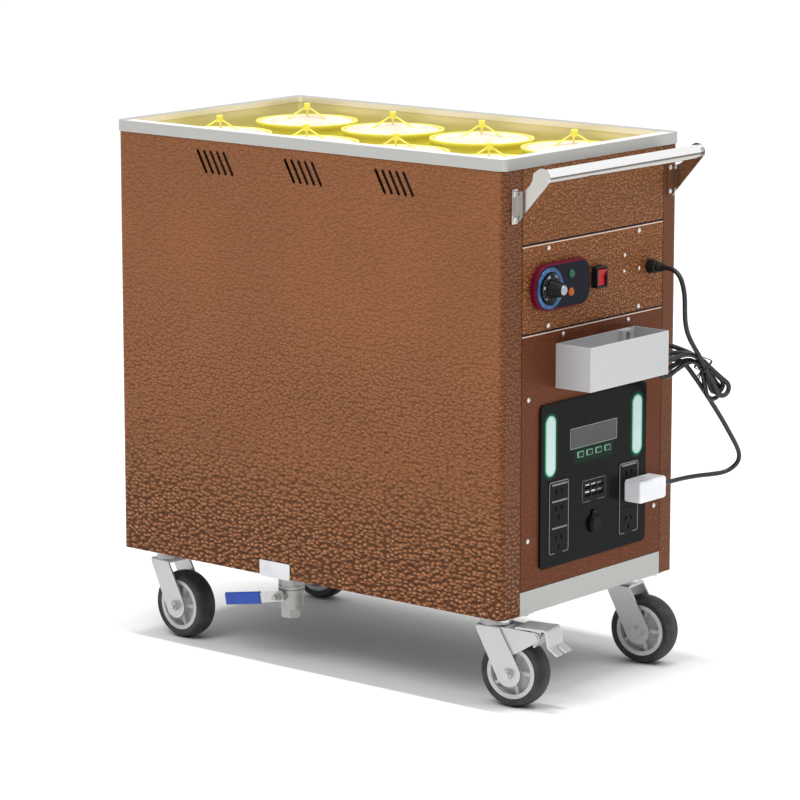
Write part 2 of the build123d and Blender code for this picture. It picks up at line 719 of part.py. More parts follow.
def tank():
    """A tank welded from four flanged walls, a floor, four ledge strips for the rack and a drain spout."""
    inner = plan(TANK_X, TANK_Y, OPENING_RADIUS + RIM_LIP_SHEET + TANK_CLEARANCE)
    corner = OPENING_RADIUS + RIM_LIP_SHEET + TANK_CLEARANCE + TANK_SHEET
    outer = plan(TANK_X + TANK_SHEET, TANK_Y + TANK_SHEET, corner)
    ledge_hole = plan(TANK_X - LEDGE_WIDTH, TANK_Y - LEDGE_WIDTH, OPENING_RADIUS)
    floor_top = TANK_FLOOR + TANK_SHEET
    walls = prism_z(outer - inner, floor_top, FLANGE_TOP)
    walls += prism_z(plan(END_X, SIDE_Y, CORNER_RADIUS) - inner, BODY_TOP, FLANGE_TOP)
    ledge = prism_z(inner - ledge_hole, LEDGE_TOP - LEDGE_SHEET, LEDGE_TOP)
    floor = prism_z(outer, TANK_FLOOR, floor_top) - rod_z(VALVE_AT, SPOUT_BORE / 2, TANK_FLOOR, floor_top)
    for at in heater_places():
        floor -= rod_z(at, HEATER_DIAMETER / 2 + FIT_CLEARANCE, TANK_FLOOR, floor_top)
    spout = rod_z(VALVE_AT, SPOUT_DIAMETER / 2, SPOUT_END, TANK_FLOOR)
    spout -= rod_z(VALVE_AT, SPOUT_BORE / 2, SPOUT_END, TANK_FLOOR)
    return group(mitred(walls, END_X, SIDE_Y) + mitred(ledge, TANK_X, TANK_Y) + [floor, spout])


def heater_places():
    return [(HEATER_ENTRY_X, side * HEATER_SPREAD / 2) for side in (-1, 1)]


def heating_element():
    """A hairpin heater whose two legs pass through the tank floor in clamping flanges."""
    low = TANK_FLOOR - HEATER_TAIL
    high = TANK_FLOOR + TANK_SHEET + HEATER_HEIGHT
    near, far = heater_places()
    route = [(*near, low), (*near, high), (HEATER_END_X, near[1], high)]
    route += [(HEATER_END_X, far[1], high), (*far, high), (*far, low)]
    path = FilletPolyline(*route, radius=HEATER_BEND)
    element = sweep(Plane(origin=route[0], z_dir=(0, 0, 1)) * Circle(HEATER_DIAMETER / 2), path=path)
    floor_top = TANK_FLOOR + TANK_SHEET
    for at in (near, far):
        element += rod_z(at, HEATER_FLANGE_DIAMETER / 2, floor_top, floor_top + HEATER_FLANGE)
        nut = Pos(*at) * RegularPolygon(HEATER_FLANGE_DIAMETER / 2, 6)
        element += prism_z(nut, TANK_FLOOR - HEATER_FLANGE, TANK_FLOOR)
    return element


def steam_rack():
    """Two rails along the tank's ledges, with a pair of slats welded between them under each basket column."""
    half_x = OPENING_X - RACK_CLEARANCE - OPENING_RADIUS
    half_y = OPENING_Y - RACK_CLEARANCE
    inner_y = half_y - RACK_RAIL_WIDTH
    level = (RACK_BOTTOM, RACK_TOP)
    bars = [
        block((-half_x, half_x), (-half_y, -inner_y), level),
        block((-half_x, half_x), (inner_y, half_y), level),
    ]
    for column in sorted({x for x, y in BASKET_CENTRES}):
        for middle in (column - RACK_SLAT_SPREAD / 2, column + RACK_SLAT_SPREAD / 2):
            span = (middle - RACK_SLAT_WIDTH / 2, middle + RACK_SLAT_WIDTH / 2)
            bars.append(block(span, (-inner_y, inner_y), level))
    return group(bars)


def basket(centre):
    """A moulded ring, a slotted plate on the ring's shoulder and a lifting knob on three legs."""
    base = BASKET_BASE_DIAMETER / 2
    top = BASKET_DIAMETER / 2 - BASKET_LIP + BASKET_WALL
    lip = BASKET_DIAMETER / 2
    lip_bottom = BASKET_TOP - BASKET_LIP_HEIGHT
    plate_top = BASKET_TOP - PLATE_DROP
    plate_bottom = plate_top - PLATE_THICKNESS
    ring = turned_z(
        (0, 0),
        [
            (base - BASKET_WALL, BASKET_BOTTOM),
            (base, BASKET_BOTTOM),
            (top, lip_bottom),
            (lip, lip_bottom),
            (lip, BASKET_TOP),
            (top - BASKET_WALL, BASKET_TOP),
            (top - BASKET_WALL, plate_bottom),
            (top - 2 * BASKET_WALL, plate_bottom),
        ],
    )
    plate = rod_z((0, 0), top - BASKET_WALL, plate_bottom, plate_top)
    middle = (PLATE_SLOT_INNER + PLATE_SLOT_OUTER) / 2
    slot = Pos(middle, 0) * SlotOverall(PLATE_SLOT_OUTER - PLATE_SLOT_INNER, PLATE_SLOT_WIDTH)
    turns = [BAIL_TURN + 180 / BAIL_LEGS / 2 + index * 360 / PLATE_SLOTS for index in range(PLATE_SLOTS)]
    plate -= [prism_z(Rot(0, 0, turn) * slot, plate_bottom, plate_top) for turn in turns]
    knob_top = BASKET_TOP + KNOB_RISE
    knob_bottom = knob_top - KNOB_HEIGHT
    knob = prism_z(Rot(0, 0, BAIL_TURN) * Rectangle(KNOB_WIDTH, KNOB_WIDTH), knob_bottom, knob_top)
    head = (0, 0, knob_bottom + KNOB_HEIGHT / 2)
    below = rod_z((0, 0), lip, plate_bottom - BAIL_DIAMETER, plate_top)
    legs = []
    for index in range(BAIL_LEGS):
        turn = math.radians(BAIL_TURN + index * 360 / BAIL_LEGS)
        foot = (BAIL_FOOT_RADIUS * math.cos(turn), BAIL_FOOT_RADIUS * math.sin(turn), plate_bottom)
        legs.append(rod_between(foot, head, BAIL_DIAMETER / 2) - knob - below)
    return group(Pos(*centre, 0) * solid for solid in (ring, plate, knob, *legs))


# Controls


def thermostat_plate():
    """A raised bezel, rounder at the dial's end, with a chamfered front."""
    face = END_X + THERMOSTAT_PLATE_THICKNESS
    corners = []
    for side, radius in ((-1, THERMOSTAT_PLATE_LEFT_RADIUS), (1, THERMOSTAT_PLATE_RIGHT_RADIUS)):
        reach = side * (THERMOSTAT_PLATE[0] / 2 - radius)
        rise = THERMOSTAT_PLATE[1] / 2 - radius
        corners += [Pos(reach, -rise) * Circle(radius), Pos(reach, rise) * Circle(radius)]
    plate = prism_x(Pos(*THERMOSTAT_PLATE_AT) * hull(*corners), END_X, face)
    plate = chamfer(plate.faces().sort_by(Axis.X)[-1].edges(), THERMOSTAT_PLATE_CHAMFER)
    plate -= rod_x(KNOB_AT, KNOB_STEM_DIAMETER / 2 + FIT_CLEARANCE, END_X, face)
    for at in (GREEN_LAMP_AT, AMBER_LAMP_AT):
        plate -= rod_x(at, LAMP_BODY_DIAMETER / 2 + FIT_CLEARANCE, END_X, face)
    return plate


def thermostat_body():
    """The capillary thermostat behind the panel, bored for the knob's stem."""
    depth, width, height = THERMOSTAT_BODY
    y, z = KNOB_AT
    body = block((BACK_X - depth, BACK_X), (y - width / 2, y + width / 2), (z - height / 2, z + height / 2))
    body = fillet(body.edges().filter_by(Axis.X), THERMOSTAT_BODY_RADIUS)
    bore = KNOB_STEM_DIAMETER / 2 + RUNNING_CLEARANCE
    return body - rod_x(KNOB_AT, bore, BACK_X - STEM_REACH - FIT_CLEARANCE, BACK_X)


def thermostat_knob():
    """A skirted knob with a fluted, tapering grip, a pointer rib and a round cap, on its stem."""
    start = END_X + THERMOSTAT_PLATE_THICKNESS + DIAL_KNOB_CLEARANCE
    end = start + DIAL_KNOB_LENGTH
    skirt = DIAL_KNOB_DIAMETER / 2
    grip = DIAL_GRIP_DIAMETER / 2
    tip = DIAL_TIP_DIAMETER / 2
    cap = DIAL_CAP_DIAMETER / 2
    stem = KNOB_STEM_DIAMETER / 2
    skirt_depth = DIAL_KNOB_LENGTH / 5
    knob = turned_x(
        KNOB_AT,
        [
            (BACK_X - STEM_REACH, 0),
            (BACK_X - STEM_REACH, stem),
            (start, stem),
            (start, skirt),
            (start + skirt_depth / 2, skirt),
            (start + skirt_depth, grip + 3.0),
            (start + skirt_depth, grip),
            (end - 2.0, tip),
            (end - 1.0, tip - 1.0),
            (end - 1.0, cap),
            (end, cap - 1.0),
            (end, 0),
        ],
    )
    flute = DIAL_GRIP_DIAMETER / 10
    y, z = KNOB_AT
    for index in range(DIAL_FLUTES):
        turn = 2 * math.pi * index / DIAL_FLUTES
        foot = (start + skirt_depth, y + grip * 1.14 * math.cos(turn), z + grip * 1.14 * math.sin(turn))
        head = (end, y + tip * 1.2 * math.cos(turn), z + tip * 1.2 * math.sin(turn))
        knob -= rod_between(foot, head, flute)
    rib = block((start, start + skirt_depth), (y - 1.0, y + 1.0), (z + grip, z + skirt - 1.0))
    return knob + rib


def indicator_lamps():
    """Two lamps with domed lenses on the thermostat plate."""
    face = END_X + THERMOSTAT_PLATE_THICKNESS
    lens = LAMP_DIAMETER / 2
    stem = LAMP_BODY_DIAMETER / 2
    outline = [
        (face - LAMP_DEPTH, 0),
        (face - LAMP_DEPTH, stem),
        (face, stem),
        (face, lens),
        (face + LAMP_RISE / 3, lens),
        (face + LAMP_RISE * 0.8, lens * 0.65),
        (face + LAMP_RISE, 0),
    ]
    return group(turned_x(at, outline) for at in (GREEN_LAMP_AT, AMBER_LAMP_AT))


def rocker_pivot_x():
    return END_X + ROCKER_PIVOT_RISE


def rocker_reach():
    """The largest radius that the rocker sweeps about its pin."""
    return math.hypot(ROCKER_SIZE[1] / 2, ROCKER_HOUSING_RISE - ROCKER_PIVOT_RISE - 1.0)


def rocker_housing():
    """A snap-in switch body with an open front and pin holes for the rocker."""
    y, z = ROCKER_AT
    front = END_X + ROCKER_HOUSING_RISE
    housing = prism_x(Pos(y, z) * RectangleRounded(*ROCKER_HOUSING, 3.0), END_X, front)
    housing += prism_x(Pos(y, z) * Rectangle(*ROCKER_BODY), END_X - ROCKER_HOUSING_DEPTH, END_X)
    cavity_half = rocker_reach() + ROCKER_SWING_CLEARANCE
    cavity = Rectangle(ROCKER_SIZE[0] + 2 * FIT_CLEARANCE, 2 * cavity_half)
    housing -= prism_x(Pos(y, z) * cavity, END_X + SHEET, front)
    pin = ROCKER_PIN_DIAMETER / 2 + RUNNING_CLEARANCE
    wall = ROCKER_HOUSING[0] / 2 - 1.0
    housing -= rod_y((rocker_pivot_x(), z), pin, y - wall, y + wall)
    return housing


def power_rocker():
    """A rocker with two sloping faces, resting with one end pressed in."""
    y, z = ROCKER_AT
    half = ROCKER_SIZE[1] / 2
    crest = ROCKER_HOUSING_RISE - ROCKER_PIVOT_RISE - 1.0
    outline = [(-2.5, -half + 1.0), (crest, -half), (crest - 2.4, 0), (crest, half), (-2.5, half - 1.0)]
    body = prism_y(make_face(Polyline(*outline, close=True)), -ROCKER_SIZE[0] / 2, ROCKER_SIZE[0] / 2)
    pin_half = ROCKER_HOUSING[0] / 2 - 1.0 - FIT_CLEARANCE
    body += rod_y((0, 0), ROCKER_PIN_DIAMETER / 2, -pin_half, pin_half)
    return Pos(rocker_pivot_x(), y, z) * (Rot(0, ROCKER_TILT, 0) * body)


def cable_gland():
    """A hex nut on the panel and a ribbed cone that holds the cord."""
    nut = prism_x(Pos(*GLAND_AT) * RegularPolygon(GLAND_NUT / 2, 6), END_X, END_X + GLAND_LENGTH * 0.25)
    wide = GLAND_DIAMETER / 2
    outline = [
        (END_X, 0),
        (END_X, wide),
        (END_X + GLAND_LENGTH * 0.5, wide),
        (END_X + GLAND_LENGTH * 0.55, wide - 2.0),
        (END_X + GLAND_LENGTH * 0.7, wide - 2.0),
        (END_X + GLAND_LENGTH * 0.75, wide - 3.0),
        (END_X + GLAND_LENGTH, CORD_DIAMETER / 2 + 1.5),
        (END_X + GLAND_LENGTH, 0),
    ]
    return nut + turned_x(GLAND_AT, outline)


# Power station


def power_point(shift_y, shift_z):
    return (POWER_AT[0] + shift_y, POWER_AT[1] + shift_z)


def led_places():
    return [power_point(side * LED_SPACING / 2, LED_RISE) for side in (-1, 1)]


def button_places():
    shifts = [(index - (BUTTON_COUNT - 1) / 2) * BUTTON_PITCH + LCD_SHIFT for index in range(BUTTON_COUNT)]
    return [power_point(shift, BUTTON_RISE) for shift in shifts]


def socket_places():
    return [power_point(side * SOCKET_SPACING / 2, -SOCKET_DROP) for side in (-1, 1)]


def power_front():
    return END_X + POWER_PANEL_THICKNESS


def inset(at, sketch, proud):
    """A piece let into the front of the power panel."""
    return prism_x(Pos(*at) * sketch, power_front() - INSET_DEPTH, power_front() + proud)


def led_outline(clearance=0.0):
    return Rot(0, 0, 90) * SlotOverall(LED_SIZE[1] + 2 * clearance, LED_SIZE[0] + 2 * clearance)


def lcd_outline(clearance=0.0):
    return Rectangle(LCD_SIZE[0] + 2 * clearance, LCD_SIZE[1] + 2 * clearance)


def socket_outline(clearance=0.0):
    return Rectangle(SOCKET_COLUMN[0] + 2 * clearance, SOCKET_COLUMN[1] + 2 * clearance)


def usb_outline(clearance=0.0):
    return Rectangle(USB_BLOCK[0] + 2 * clearance, USB_BLOCK[1] + 2 * clearance)


def button_outline(grow):
    return Rectangle(BUTTON_SIZE[0] + 2 * grow, BUTTON_SIZE[1] + 2 * grow)


def car_socket_hole():
    """The radius of the hole for the round socket's barrel."""
    return CAR_SOCKET_DIAMETER / 2 - CAR_SOCKET_LAP + FIT_CLEARANCE


def power_panel():
    """The glossy front plate, pocketed for the lights, display, buttons and sockets."""
    front = power_front()
    plate = prism_x(Pos(*POWER_AT) * RectangleRounded(*POWER_PANEL, POWER_PANEL_RADIUS), END_X, front)
    pocket = (front - INSET_DEPTH, front)
    for at in led_places():
        plate -= prism_x(Pos(*at) * led_outline(FIT_CLEARANCE), *pocket)
    plate -= prism_x(Pos(*power_point(LCD_SHIFT, LCD_RISE)) * lcd_outline(FIT_CLEARANCE), *pocket)
    for at in button_places():
        plate -= prism_x(Pos(*at) * button_outline(BUTTON_CLEARANCE), END_X, front)
        recess = button_outline(BUTTON_CLEARANCE + BUTTON_FLANGE)
        plate -= prism_x(Pos(*at) * recess, END_X, END_X + BUTTON_FLANGE)
    for at in socket_places():
        plate -= prism_x(Pos(*at) * socket_outline(FIT_CLEARANCE), END_X, front)
    plate -= prism_x(Pos(*power_point(0, -USB_DROP)) * usb_outline(FIT_CLEARANCE), END_X, front)
    plate -= rod_x(power_point(0, -CAR_SOCKET_DROP), car_socket_hole(), END_X, front)
    return plate


def power_unit():
    """The battery and inverter case behind the panel, on two feet, with wells for what plugs in."""
    half_w = (POWER_PANEL[0] - 2 * POWER_LAP) / 2 - FIT_CLEARANCE
    half_h = (POWER_PANEL[1] - 2 * POWER_LAP) / 2 - FIT_CLEARANCE
    outline = RectangleRounded(2 * half_w, 2 * half_h, POWER_UNIT_RADIUS)
    case = prism_x(Pos(*POWER_AT) * outline, END_X - POWER_DEPTH, END_X)
    bottom = POWER_AT[1] - half_h
    foot_width, foot_length = POWER_FOOT
    for side in (-1, 1):
        y = POWER_AT[0] + side * (half_w - 2 * foot_width)
        x_middle = END_X - POWER_DEPTH / 2
        foot_x = (x_middle - foot_length / 2, x_middle + foot_length / 2)
        case += block(foot_x, (y - foot_width / 2, y + foot_width / 2), (BODY_BOTTOM + BASE_PLATE, bottom))
    for at in button_places():
        well = BUTTON_TRAVEL + BUTTON_FLANGE
        case -= prism_x(Pos(*at) * button_outline(BUTTON_CLEARANCE + BUTTON_FLANGE), END_X - well, END_X)
    well = PIN_SLOT_DEPTH + POWER_PANEL_THICKNESS
    for at in socket_places():
        case -= prism_x(Pos(*at) * socket_outline(FIT_CLEARANCE), END_X - well, END_X)
    case -= prism_x(Pos(*power_point(0, -USB_DROP)) * usb_outline(FIT_CLEARANCE), END_X - USB_DEPTH, END_X)
    case -= rod_x(power_point(0, -CAR_SOCKET_DROP), car_socket_hole(), END_X - well, END_X)
    return case


def led_strips():
    return group(inset(at, led_outline(), INSET_PROUD) for at in led_places())


def lcd_window():
    return inset(power_point(LCD_SHIFT, LCD_RISE), lcd_outline(), INSET_PROUD / 2)


def power_button(at):
    """A key with a flange behind the panel that keeps it in its hole."""
    flange_front = END_X + BUTTON_FLANGE - BUTTON_CLEARANCE
    cap = prism_x(Pos(*at) * button_outline(0), flange_front, power_front() + BUTTON_PROUD)
    return cap + prism_x(Pos(*at) * button_outline(BUTTON_FLANGE), END_X - FIT_CLEARANCE, flange_front)


def pin_slots(row, clearance=0.0):
    """Slots for one socket: a two-pin row has two upright slots, the others have three."""
    upright = Rot(0, 0, 90) * SlotOverall(PIN_SLOT[1] - 2 * clearance, PIN_SLOT[0] - 2 * clearance)
    if row == 0:
        return [Pos(side * PIN_SPACING / 2, 0) * upright for side in (-1, 1)]
    slanted = [Pos(side * PIN_SPACING / 2, 4.0) * (Rot(0, 0, side * 30) * upright) for side in (-1, 1)]
    return slanted + [Pos(0, -9.0) * upright]


def outlet_sockets():
    """Two columns of mains sockets, each moulded as one block."""
    columns = []
    front = power_front() + SOCKET_PROUD
    for at in socket_places():
        column = prism_x(Pos(*at) * socket_outline(), END_X - PIN_SLOT_DEPTH, front)
        for groove in SOCKET_GROOVES:
            cut = Pos(at[0], at[1] + groove) * Rectangle(SOCKET_COLUMN[0] - 10.0, 1.2)
            column -= prism_x(cut, front - 0.6, front)
        for row, shift in enumerate(SOCKET_ROWS):
            for slot in pin_slots(row):
                column -= prism_x(Pos(at[0], at[1] + shift) * slot, front - PIN_SLOT_DEPTH, front)
        columns.append(column)
    return group(columns)


def dc_sockets():
    """A block of small charging ports and a round capped socket below it."""
    front = power_front() + INSET_PROUD
    at = power_point(0, -USB_DROP)
    block_usb = prism_x(Pos(*at) * usb_outline(), END_X - USB_DEPTH + FIT_CLEARANCE, front)
    for column in (-1, 0, 1):
        for row in (-0.5, 0.5):
            port = (at[0] + column * USB_PITCH[0], at[1] + row * USB_PITCH[1])
            block_usb -= prism_x(Pos(*port) * Rectangle(*USB_PORT), front - USB_DEPTH, front)
            tongue = Rectangle(USB_PORT[0] - 2.0, USB_TONGUE)
            block_usb += prism_x(Pos(*port) * tongue, front - USB_DEPTH, front - 1.0)
    y, z = power_point(0, -CAR_SOCKET_DROP)
    face = power_front()
    wide = CAR_SOCKET_DIAMETER / 2
    cap = turned_x(
        (y, z),
        [
            (END_X - PIN_SLOT_DEPTH, 0),
            (END_X - PIN_SLOT_DEPTH, wide - CAR_SOCKET_LAP),
            (face, wide - CAR_SOCKET_LAP),
            (face, wide),
            (face + CAR_SOCKET_RISE * 0.5, wide),
            (face + CAR_SOCKET_RISE, wide - 3.5),
            (face + CAR_SOCKET_RISE, 0),
        ],
    )
    tab = RectangleRounded(*CAR_CAP_TAB, 4.0)
    cap += prism_x(Pos(y, z + wide - CAR_CAP_TAB[1] / 4) * tab, face, face + CAR_SOCKET_RISE * 0.4)
    return group([block_usb, cap])


# End fittings


def tray_screw_places():
    y, z = TRAY_AT
    spread = TRAY_WIDTH / 2 - TRAY_SCREW_INSET
    return [(y + side * spread, z + TRAY_HEIGHT / 2 - TRAY_SCREW_INSET) for side in (-1, 1)]


def tray():
    """An open sheet tray screwed to the lower panel through its back wall, with a slotted clip inside."""
    y, z = TRAY_AT
    across = (y - TRAY_WIDTH / 2, y + TRAY_WIDTH / 2)
    up = (z - TRAY_HEIGHT / 2, z + TRAY_HEIGHT / 2)
    box = block((END_X, END_X + TRAY_DEPTH), across, up)
    inside_y = (across[0] + TRAY_SHEET, across[1] - TRAY_SHEET)
    inside_x = (END_X + TRAY_SHEET, END_X + TRAY_DEPTH - TRAY_SHEET)
    box -= block(inside_x, inside_y, (up[0] + TRAY_SHEET, up[1]))
    box -= screw_holes(tray_screw_places(), END_X, END_X + TRAY_SHEET)
    width, height, depth = TRAY_CLIP
    clip_y = across[1] - TRAY_CLIP_FROM_RIGHT
    clip_z = up[1] - TRAY_SHEET - height / 2
    back = END_X + TRAY_SHEET
    clip = prism_x(Pos(clip_y, clip_z) * Rectangle(width, height), back, back + depth)
    slot_width, slot_height = TRAY_CLIP_SLOT
    slot = SlotOverall(slot_height, slot_width)
    clip -= prism_x(Pos(clip_y, clip_z) * (Rot(0, 0, 90) * slot), back + TRAY_SHEET, back + depth)
    return box + clip


def handle_axis():
    return (END_X + HANDLE_REACH, RIM_TOP - HANDLE_DROP)


def handle_screw_places():
    """The two screws in each bracket flange."""
    centres = (HANDLE_NEAR_Y - HANDLE_PLATE - HANDLE_FLANGE / 2, HANDLE_FAR_Y - HANDLE_FLANGE / 2)
    heights = (HANDLE_FLANGE_BOTTOM + HANDLE_SCREW_INSET, HANDLE_FLANGE_TOP - HANDLE_SCREW_INSET)
    return [(y, z) for y in centres for z in heights]


def handle_brackets():
    """Two swept plates, each folded from a flange that screws to the corner of the body."""
    end_circle = Pos(*handle_axis()) * Circle(HANDLE_END_RADIUS)
    foot = Pos(END_X + HANDLE_PLATE / 2, (HANDLE_FLANGE_BOTTOM + HANDLE_FLANGE_TOP) / 2)
    foot *= Rectangle(HANDLE_PLATE, HANDLE_FLANGE_TOP - HANDLE_FLANGE_BOTTOM)
    throat = Pos(END_X + HANDLE_THROAT_OUT, RIM_TOP - HANDLE_THROAT_DROP) * Circle(HANDLE_THROAT_RADIUS)
    outline = hull(end_circle, foot) - throat
    heights = (HANDLE_FLANGE_BOTTOM, HANDLE_FLANGE_TOP)
    brackets = []
    for plate_start in (HANDLE_NEAR_Y - HANDLE_PLATE, HANDLE_FAR_Y):
        plate = prism_y(outline, plate_start, plate_start + HANDLE_PLATE)
        flange = block((END_X, END_X + HANDLE_PLATE), (plate_start - HANDLE_FLANGE, plate_start), heights)
        flange -= screw_holes(handle_screw_places(), END_X, END_X + HANDLE_PLATE)
        brackets.append(plate + flange)
    return group(brackets)


def handle_tube():
    outer = rod_y(handle_axis(), TUBE_DIAMETER / 2, HANDLE_NEAR_Y, HANDLE_FAR_Y)
    return outer - rod_y(handle_axis(), TUBE_DIAMETER / 2 - TUBE_WALL, HANDLE_NEAR_Y, HANDLE_FAR_Y)


# Drain valve


def valve_body():
    """A ball valve screwed to the tank's spout: hex neck, round body, ribbed collar and stem boss."""
    x, y = VALVE_AT
    neck_top = VALVE_BOTTOM + VALVE_NECK_HEIGHT
    body_top = neck_top + VALVE_BODY_HEIGHT
    collar_top = body_top + VALVE_COLLAR_HEIGHT
    body = prism_z(Pos(x, y) * RegularPolygon(VALVE_NECK_DIAMETER / 2, 6), VALVE_BOTTOM, neck_top)
    body += rod_z(VALVE_AT, VALVE_BODY_DIAMETER / 2, neck_top, body_top)
    body += rod_z(VALVE_AT, VALVE_COLLAR_DIAMETER / 2, body_top, body_top + VALVE_COLLAR_HEIGHT * 0.4)
    body += rod_z(VALVE_AT, VALVE_BODY_DIAMETER / 2, body_top, collar_top)
    body += rod_z(VALVE_AT, VALVE_COLLAR_DIAMETER / 2, collar_top - VALVE_COLLAR_HEIGHT * 0.4, collar_top)
    body += prism_z(Pos(x, y) * RegularPolygon(VALVE_COLLAR_DIAMETER / 2, 8), collar_top, VALVE_TOP)
    body += rod_y((x, STEM_HEIGHT), STEM_BOSS_DIAMETER / 2, y - STEM_BOSS_REACH, y)
    body -= rod_z(VALVE_AT, OUTLET_BORE / 2, VALVE_BOTTOM, neck_top)
    body -= rod_z(VALVE_AT, PORT_BORE / 2, neck_top, VALVE_TOP)
    body -= rod_z(VALVE_AT, SPOUT_DIAMETER / 2 + FIT_CLEARANCE / 2, VALVE_TOP - VALVE_NUT_HEIGHT, VALVE_TOP)
    body -= Pos(x, y, STEM_HEIGHT) * Sphere(BALL_DIAMETER / 2 + BALL_CLEARANCE)
    bore = VALVE_STEM_DIAMETER / 2 + RUNNING_CLEARANCE
    return body - rod_y((x, STEM_HEIGHT), bore, y - STEM_BOSS_REACH, y)


def valve_turned(solid):
    """Place a shape drawn about the stem, with its lever along -X, at the lever's droop."""
    x, y = VALVE_AT
    return Pos(x, y, STEM_HEIGHT) * (Rot(0, -LEVER_DROOP, 0) * solid)


def lever_back():
    """The distance from the pipe's axis to the back of the lever."""
    return STEM_BOSS_REACH + LEVER_GAP


def valve_stem():
    """The ball and its stem, with the nut that holds the lever."""
    ball = Sphere(BALL_DIAMETER / 2) - Rot(0, 90, 0) * Cylinder(PORT_BORE / 2, 2 * BALL_DIAMETER)
    stem_start = BALL_DIAMETER / 2 - 2.0
    ball += rod_y((0, 0), VALVE_STEM_DIAMETER / 2, -STEM_LENGTH, -stem_start)
    front = lever_back() + LEVER_STRIP[1]
    nut = prism_y(RegularPolygon(LEVER_NUT / 2, 6), -front - LEVER_NUT_HEIGHT, -front)
    return valve_turned(ball + nut)


def lever_line(start):
    """The middle line of the lever in plan, from a distance out to its tip."""
    inner = lever_back() + LEVER_STRIP[1] / 2
    outer = inner + LEVER_STEP
    return [(start, -inner), (-LEVER_STEP_FROM, -inner), (-LEVER_STEP_TO, -outer), (-LEVER_REACH, -outer)]


def lever_strip():
    """A flat strip, stepped outwards, with a hole for the stem."""
    width, thickness = LEVER_STRIP
    path = FilletPolyline(*[(x, y, 0) for x, y in lever_line(width / 2)], radius=thickness)
    start = Plane(origin=path @ 0, x_dir=(0, 0, 1), z_dir=path % 0)
    return sweep(start * Rectangle(width, thickness), path=path)


def valve_lever():
    strip = lever_strip()
    hole = VALVE_STEM_DIAMETER / 2 + RUNNING_CLEARANCE
    strip -= rod_y((0, 0), hole, -lever_back() - 2 * LEVER_STRIP[1], -lever_back() + LEVER_STRIP[1])
    return valve_turned(strip)


def lever_sleeve():
    """The dipped vinyl grip over the outer part of the lever."""
    width, thickness = LEVER_STRIP
    middle = -(lever_back() + thickness / 2 + LEVER_STEP)
    end = -LEVER_REACH - SLEEVE_OVERRUN
    outline = RectangleRounded(width + 2 * SLEEVE_WALL, thickness + 2 * SLEEVE_WALL, thickness)
    plane = Plane(origin=(end, middle, 0), x_dir=(0, 0, 1), z_dir=(1, 0, 0))
    sleeve = extrude(plane * outline, SLEEVE_LENGTH)
    half = thickness / 2
    slot_x = (-LEVER_REACH, end + SLEEVE_LENGTH)
    slot = block(slot_x, (middle - half, middle + half), (-width / 2, width / 2))
    return valve_turned(sleeve - slot)


# Casters


def caster_placed(name, solid):
    """Put a shape drawn about a swivel axis in its place, at its resting swing."""
    return Pos(*CASTER_CENTRES[name], 0) * (Rot(0, 0, SWING[name]) * solid)


def caster_plate():
    """The bolted plate with its bearing race and the riveted king pin."""
    length, width, thickness = CASTER_PLATE
    top = CASTER_HEIGHT
    underside = top - thickness
    race_bottom = underside - RACE_HEIGHT
    crown_under = CROWN_TOP - CROWN_THICKNESS
    plate = prism_z(RectangleRounded(length, width, 8.0), underside, top)
    plate += turned_z(
        (0, 0),
        [
            (0, underside),
            (RACE_DIAMETER / 2, underside),
            (RACE_DIAMETER / 2 - 2.0, race_bottom),
            (KING_PIN_DIAMETER / 2, race_bottom),
            (KING_PIN_DIAMETER / 2, crown_under - SWIVEL_GAP),
            (KING_PIN_HEAD / 2, crown_under - SWIVEL_GAP),
            (KING_PIN_HEAD / 2 - 1.5, crown_under - SWIVEL_GAP - KING_PIN_HEAD_HEIGHT),
            (0, crown_under - SWIVEL_GAP - KING_PIN_HEAD_HEIGHT),
        ],
    )
    hole = CASTER_BOLT_DIAMETER / 2 + FIT_CLEARANCE
    for side_x in (-1, 1):
        for side_y in (-1, 1):
            at = (side_x * CASTER_BOLTS[0] / 2, side_y * CASTER_BOLTS[1] / 2)
            plate -= rod_z(at, hole, underside, top)
    return plate


def caster_plates():
    return group(Pos(x, y, 0) * caster_plate() for x, y in CASTER_CENTRES.values())


def caster_bolt(at):
    """A low hex bolt through the caster plate and base pan, with its nut."""
    x, y = at
    underside = CASTER_HEIGHT - CASTER_PLATE[2]
    pan_top = BODY_BOTTOM + BASE_PLATE
    hexagon = Pos(x, y) * RegularPolygon(CASTER_BOLT_DIAMETER * 0.8, 6)
    bolt = rod_z(at, CASTER_BOLT_DIAMETER / 2, underside, pan_top + 1.5 * BOLT_HEAD_HEIGHT)
    bolt += prism_z(hexagon, underside - BOLT_HEAD_HEIGHT, underside)
    return bolt + prism_z(hexagon, pan_top, pan_top + BOLT_HEAD_HEIGHT)


def axle_height():
    return WHEEL_DIAMETER / 2


def brake_cheek_outline():
    """The side plate that carries the pedal, from the fork out to the pedal's pin."""
    points = [(FORK_FRONT, CROWN_TOP - 2.0), (40.0, 80.0), BRAKE_PIVOT]
    corners = [Pos(*at) * Circle(1.0) for at in points[:2]]
    return hull(*corners, Pos(*BRAKE_PIVOT) * Circle(BRAKE_CHEEK_RADIUS))


